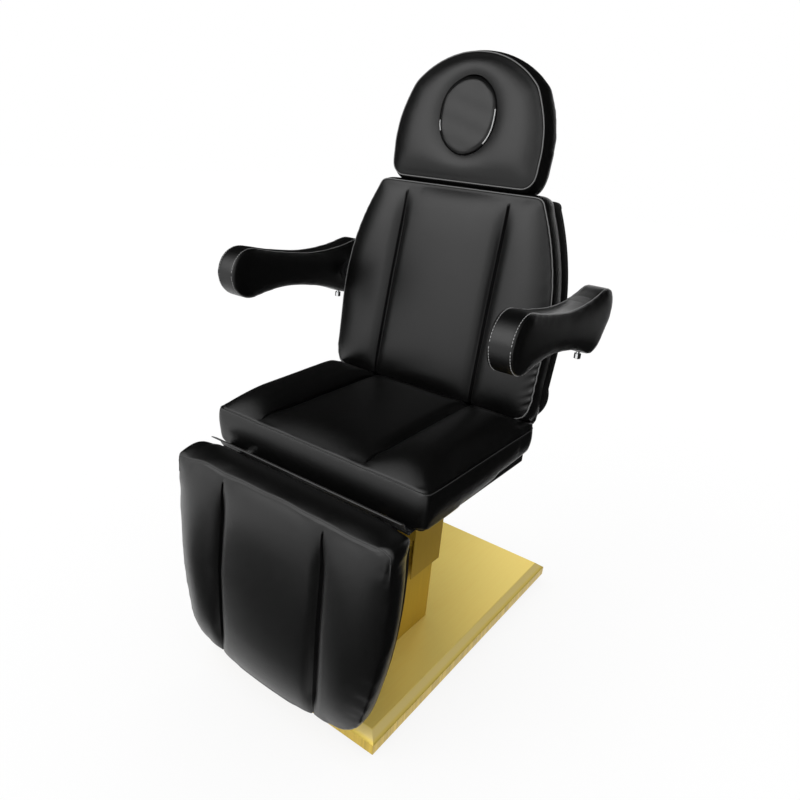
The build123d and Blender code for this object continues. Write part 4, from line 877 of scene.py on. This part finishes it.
head_piping = threads("head_rear_piping", piping, radius=0.0018, closed=False)
for piece in (head, head_seam, head_piping):
    move_to(piece, back_place)
dress(head, leather, "headrest", ["head_cushion"])
# The welt and the rear piping are painted pale, as painted highlights.
dress(head_seam, welt_painted_highlight, "headrest")
dress(head_piping, welt_painted_highlight, "headrest")


# The oval plug that fills the face hole is a loose pad in the same leatherette, a little dented.
# A near black ring is laid round it as painted shade in the groove, and pale glossy piping is painted in it
# at both sides as painted highlights.
plug_half_width, plug_half_height = 0.072, 0.085
# Arcs, in degrees, where pale piping is painted on as highlights.
glint_arcs = (-48, 14), (-172, -150)
plug = pad_copy("face_plug_padding", "face_plug", back_place, voxel=0.004)
subdivide(plug)
places = places_of(plug)
u, v, w = places.T
out = np.hypot(u / plug_half_width, (v - hole_v) / plug_half_height)
front = smooth_step(-0.030, -0.008, w)
turn = np.arctan2(v - hole_v, u)
wider = front * (0.05 + 0.25 * (v - hole_v) + 0.03 * np.sin(2 * turn) ** 2)
places[:, 0] = u * (1 + wider)
places[:, 1] = hole_v + (v - hole_v) * (1 + 0.02 * front)
dents = 0.0006 * np.sin(u * 70 + v * 40) * np.sin(v * 90 - u * 30) * (out < 0.9)
places[:, 2] += front * (0.004 + dents)
put_places(plug, places)
plug_edge = settle(outline_at(plug, -0.001, 0.004), plug)
# A near black ring round the plug's edge, as painted shade in the groove.
plug_shade_ring = threads("face_plug_groove", [plug_edge], radius=0.0016)
turned_edge = sorted(
    ((math.degrees(math.atan2(point[1] - hole_v, point[0])), point) for point in plug_edge),
    key=lambda pair: pair[0],
)
glints = [
    [Vector((p[0] * 0.975, p[1], p[2] + 0.0012)) for turn, p in turned_edge if first < turn < last]
    for first, last in glint_arcs
]
plug_painted_glints = threads("face_plug_rim", glints, radius=0.0018, closed=False)
# Near black, matte finish for the ring of painted shade.
groove_painted_shade = leather_finish(
    "groove leatherette", deep=(0.0005, 0.0005, 0.0005), bright=(0.001, 0.001, 0.001), rough=0.8, level=0.1
)
# Pale grey glossy finish: a painted highlight on the plug's rim.
painted_glint, start = new_finish("glossy piping")
gloss_grain = noise(start, 300, detail=3)
finish_with(
    painted_glint, start, Base_Color=blend(start, gloss_grain, (0.30, 0.30, 0.30), (0.42, 0.42, 0.42)),
    Roughness=gloss_grain * 0.08 + 0.06, Specular_IOR_Level=1.0, Coat_Weight=1.0,
    Normal=relief(start, gloss_grain, 0.0001, 0.2),
)
for piece in (plug, plug_painted_glints, plug_shade_ring):
    move_to(piece, back_place)
dress(plug, leather, "face_plug", ["face_plug"])
dress(plug_painted_glints, painted_glint, "face_plug")
dress(plug_shade_ring, groove_painted_shade, "face_plug")


# Armrests: a curved pad on each side, foam over a wooden core, with a band along its top, nose and
# underside, sewn to the two side panels by seams with a row of stitches beside each.
# Each pad is screwed to a hub that turns on its stub shaft beside the backrest.
stitch_thread = plain_finish(
    "stitch thread", deep=(0.26, 0.26, 0.26), bright=(0.38, 0.38, 0.38), scale=900, rough=0.6
)
arm_inner, arm_outer = 0.3345, 0.3955
arm_middle = (arm_inner + arm_outer) / 2
arm_seam_inset, arm_seam_from_middle = 0.0045, 0.0255
stitch_pitch, stitch_length, stitch_from_seam = 0.0065, 0.0040, 0.004


def stitches(piece, x):
    dots = settle(spaced(contour(piece, (x, 0, 0), (1, 0, 0)), stitch_pitch), piece, lift=0.0001)
    runs = []
    for first, second in zip(dots, dots[1:]):
        way = (second - first).normalized() * (stitch_length / 2)
        middle = (first + second) / 2
        runs.append([middle - way, middle + way])
    return runs


for word in ("left", "right"):
    arm = pad_copy(f"arm_{word}_padding", f"arm_pad_{word}", Matrix.Identity(4), voxel=0.005)
    places = places_of(arm)
    side = 1 if places[:, 0].mean() > 0 else -1
    x, y, z = places.T
    at_seam = np.abs(np.abs(np.abs(x) - arm_middle) - arm_seam_from_middle) < 0.0028
    heel = smooth_step(0.10, 0.21, y)
    places[:, 1] = y * 1.01 + 0.012 * heel
    hollow = 0.004 * smooth_step(-0.10, 0.0, y) * (1 - heel)
    places[:, 2] = z - hollow + heel * np.where(z > 0.94, 0.003, -0.004)
    put_places(arm, places)
    inflate(arm, at_seam * 1.0, cap=0.004, pressure=60)
    subdivide(arm)
    seam_x = [side * (arm_inner + arm_seam_inset), side * (arm_outer - arm_seam_inset)]
    seams = [settle(spaced(contour(arm, (line_x, 0, 0), (1, 0, 0)), 0.005), arm) for line_x in seam_x]
    arm_seam = threads(f"arm_{word}_seams", seams, radius=0.0008)
    rows = []
    for line_x, way in zip(seam_x, (side, -side)):
        rows += stitches(arm, line_x + way * stitch_from_seam)
    arm_stitches = threads(f"arm_{word}_stitches", rows, radius=0.0007, closed=False, sides=1)
    body = f"arm_{word}"
    dress(arm, leather, body, [f"arm_pad_{word}"])
    dress(arm_seam, leather, body)
    dress(arm_stitches, stitch_thread, body)


# The room: a white floor under a white sky, one broad lamp at the front left, and the camera
# where the photographer stood, level with the headrest and tipped a few degrees to one side.
# Black cards stand out of sight, and only reflections show them, as a photographer's cards do.
bpy.ops.mesh.primitive_grid_add(x_subdivisions=4, y_subdivisions=4, size=30, location=(0, 0, 0))
floor = bpy.context.active_object
floor.name = "studio_floor"
floor_white, start = new_finish("white floor")
seen = start.node("ShaderNodeLightPath", output="Is Camera Ray")
mirrored = start.node("ShaderNodeLightPath", output="Is Glossy Ray")
through = start.node("ShaderNodeLightPath", output="Is Transmission Ray")
share = (seen + mirrored + through) * 0.85
matt = start.node("ShaderNodeBsdfDiffuse", inputs={"Color": (0.92, 0.92, 0.92, 1)})
glow = start.node("ShaderNodeEmission", inputs={"Color": (1, 1, 1, 1), "Strength": 1.0})
mixed = start.node("ShaderNodeMixShader", inputs={0: share, 1: matt, 2: glow})
start.node("ShaderNodeOutputMaterial", inputs={"Surface": mixed})
floor.data.materials.append(floor_white)

card_black, start = new_finish("black card")
card_matt = start.node("ShaderNodeBsdfDiffuse", inputs={"Color": (0.02, 0.02, 0.02, 1)})
start.node("ShaderNodeOutputMaterial", inputs={"Surface": card_matt})
flat, facing_x = (0, 0, 0), (90, 0, 90)
for name, middle, size, turn in (
    ("card_right", (0.95, 1.85, 1.9), (5.5, 3.8), facing_x),
    ("card_right_floor", (0.625, 0.95, 0.01), (0.65, 5.1), flat),
    ("card_rear_left", (-1.2, 1.25, 1.55), (3.6, 2.3), facing_x),
    ("card_over", (0.1, 0.75, 2.0), (2.4, 2.6), flat),
    ("card_front", (0.35, -0.83, 0.01), (2.3, 0.50), flat),
):
    bpy.ops.mesh.primitive_grid_add(x_subdivisions=2, y_subdivisions=2, size=1, location=(0, 0, 0))
    card = bpy.context.active_object
    card.name = name
    turned = Matrix.Rotation(math.radians(turn[2]), 4, "Z") @ Matrix.Rotation(math.radians(turn[0]), 4, "X")
    card.data.transform(Matrix.Translation(middle) @ turned @ Matrix.Diagonal((size[0], size[1], 1, 1)))
    card.data.materials.append(card_black)
    card.visible_camera = False
    card.visible_diffuse = False
    card.visible_shadow = False
    card.visible_transmission = False

world = bpy.data.worlds.new("studio")
bpy.context.scene.world = world
world.use_nodes = True
world.node_tree.nodes.clear()
start = Wire(world.node_tree)
sky = start.node("ShaderNodeBackground", inputs={"Color": (1, 1, 1, 1), "Strength": 1.0})
start.node("ShaderNodeOutputWorld", inputs={"Surface": sky})

lamp_from = Vector((-0.40, -0.85, 0.45))
lamp = bpy.data.lights.new("front lamp", "SUN")
lamp.energy = 1.0
lamp.angle = math.radians(50)
lamp_stand = bpy.data.objects.new("front_lamp", lamp)
bpy.context.scene.collection.objects.link(lamp_stand)
lamp_stand.rotation_mode = "QUATERNION"
lamp_stand.rotation_quaternion = lamp_from.to_track_quat("Z", "Y")

camera_spot = (0.865, -1.315, 1.277)
yaw, pitch, roll = (math.radians(angle) for angle in (34.0, 21.27, 5.34))
ahead = Vector((-math.sin(yaw) * math.cos(pitch), math.cos(yaw) * math.cos(pitch), -math.sin(pitch)))
across = Vector((math.cos(yaw), math.sin(yaw), 0))
upward = across.cross(ahead)
camera_x = across * math.cos(roll) + upward * math.sin(roll)
camera_y = upward * math.cos(roll) - across * math.sin(roll)
turned = Matrix((camera_x, camera_y, -ahead)).transposed().to_4x4()
camera = bpy.data.objects.new("camera", bpy.data.cameras.new("camera"))
camera.data.sensor_width = 36
camera.data.lens = 29.96
camera.data.clip_end = 100
camera.matrix_world = Matrix.Translation(camera_spot) @ turned
bpy.context.scene.collection.objects.link(camera)
bpy.context.scene.camera = camera
bpy.context.scene.view_settings.view_transform = "Standard"
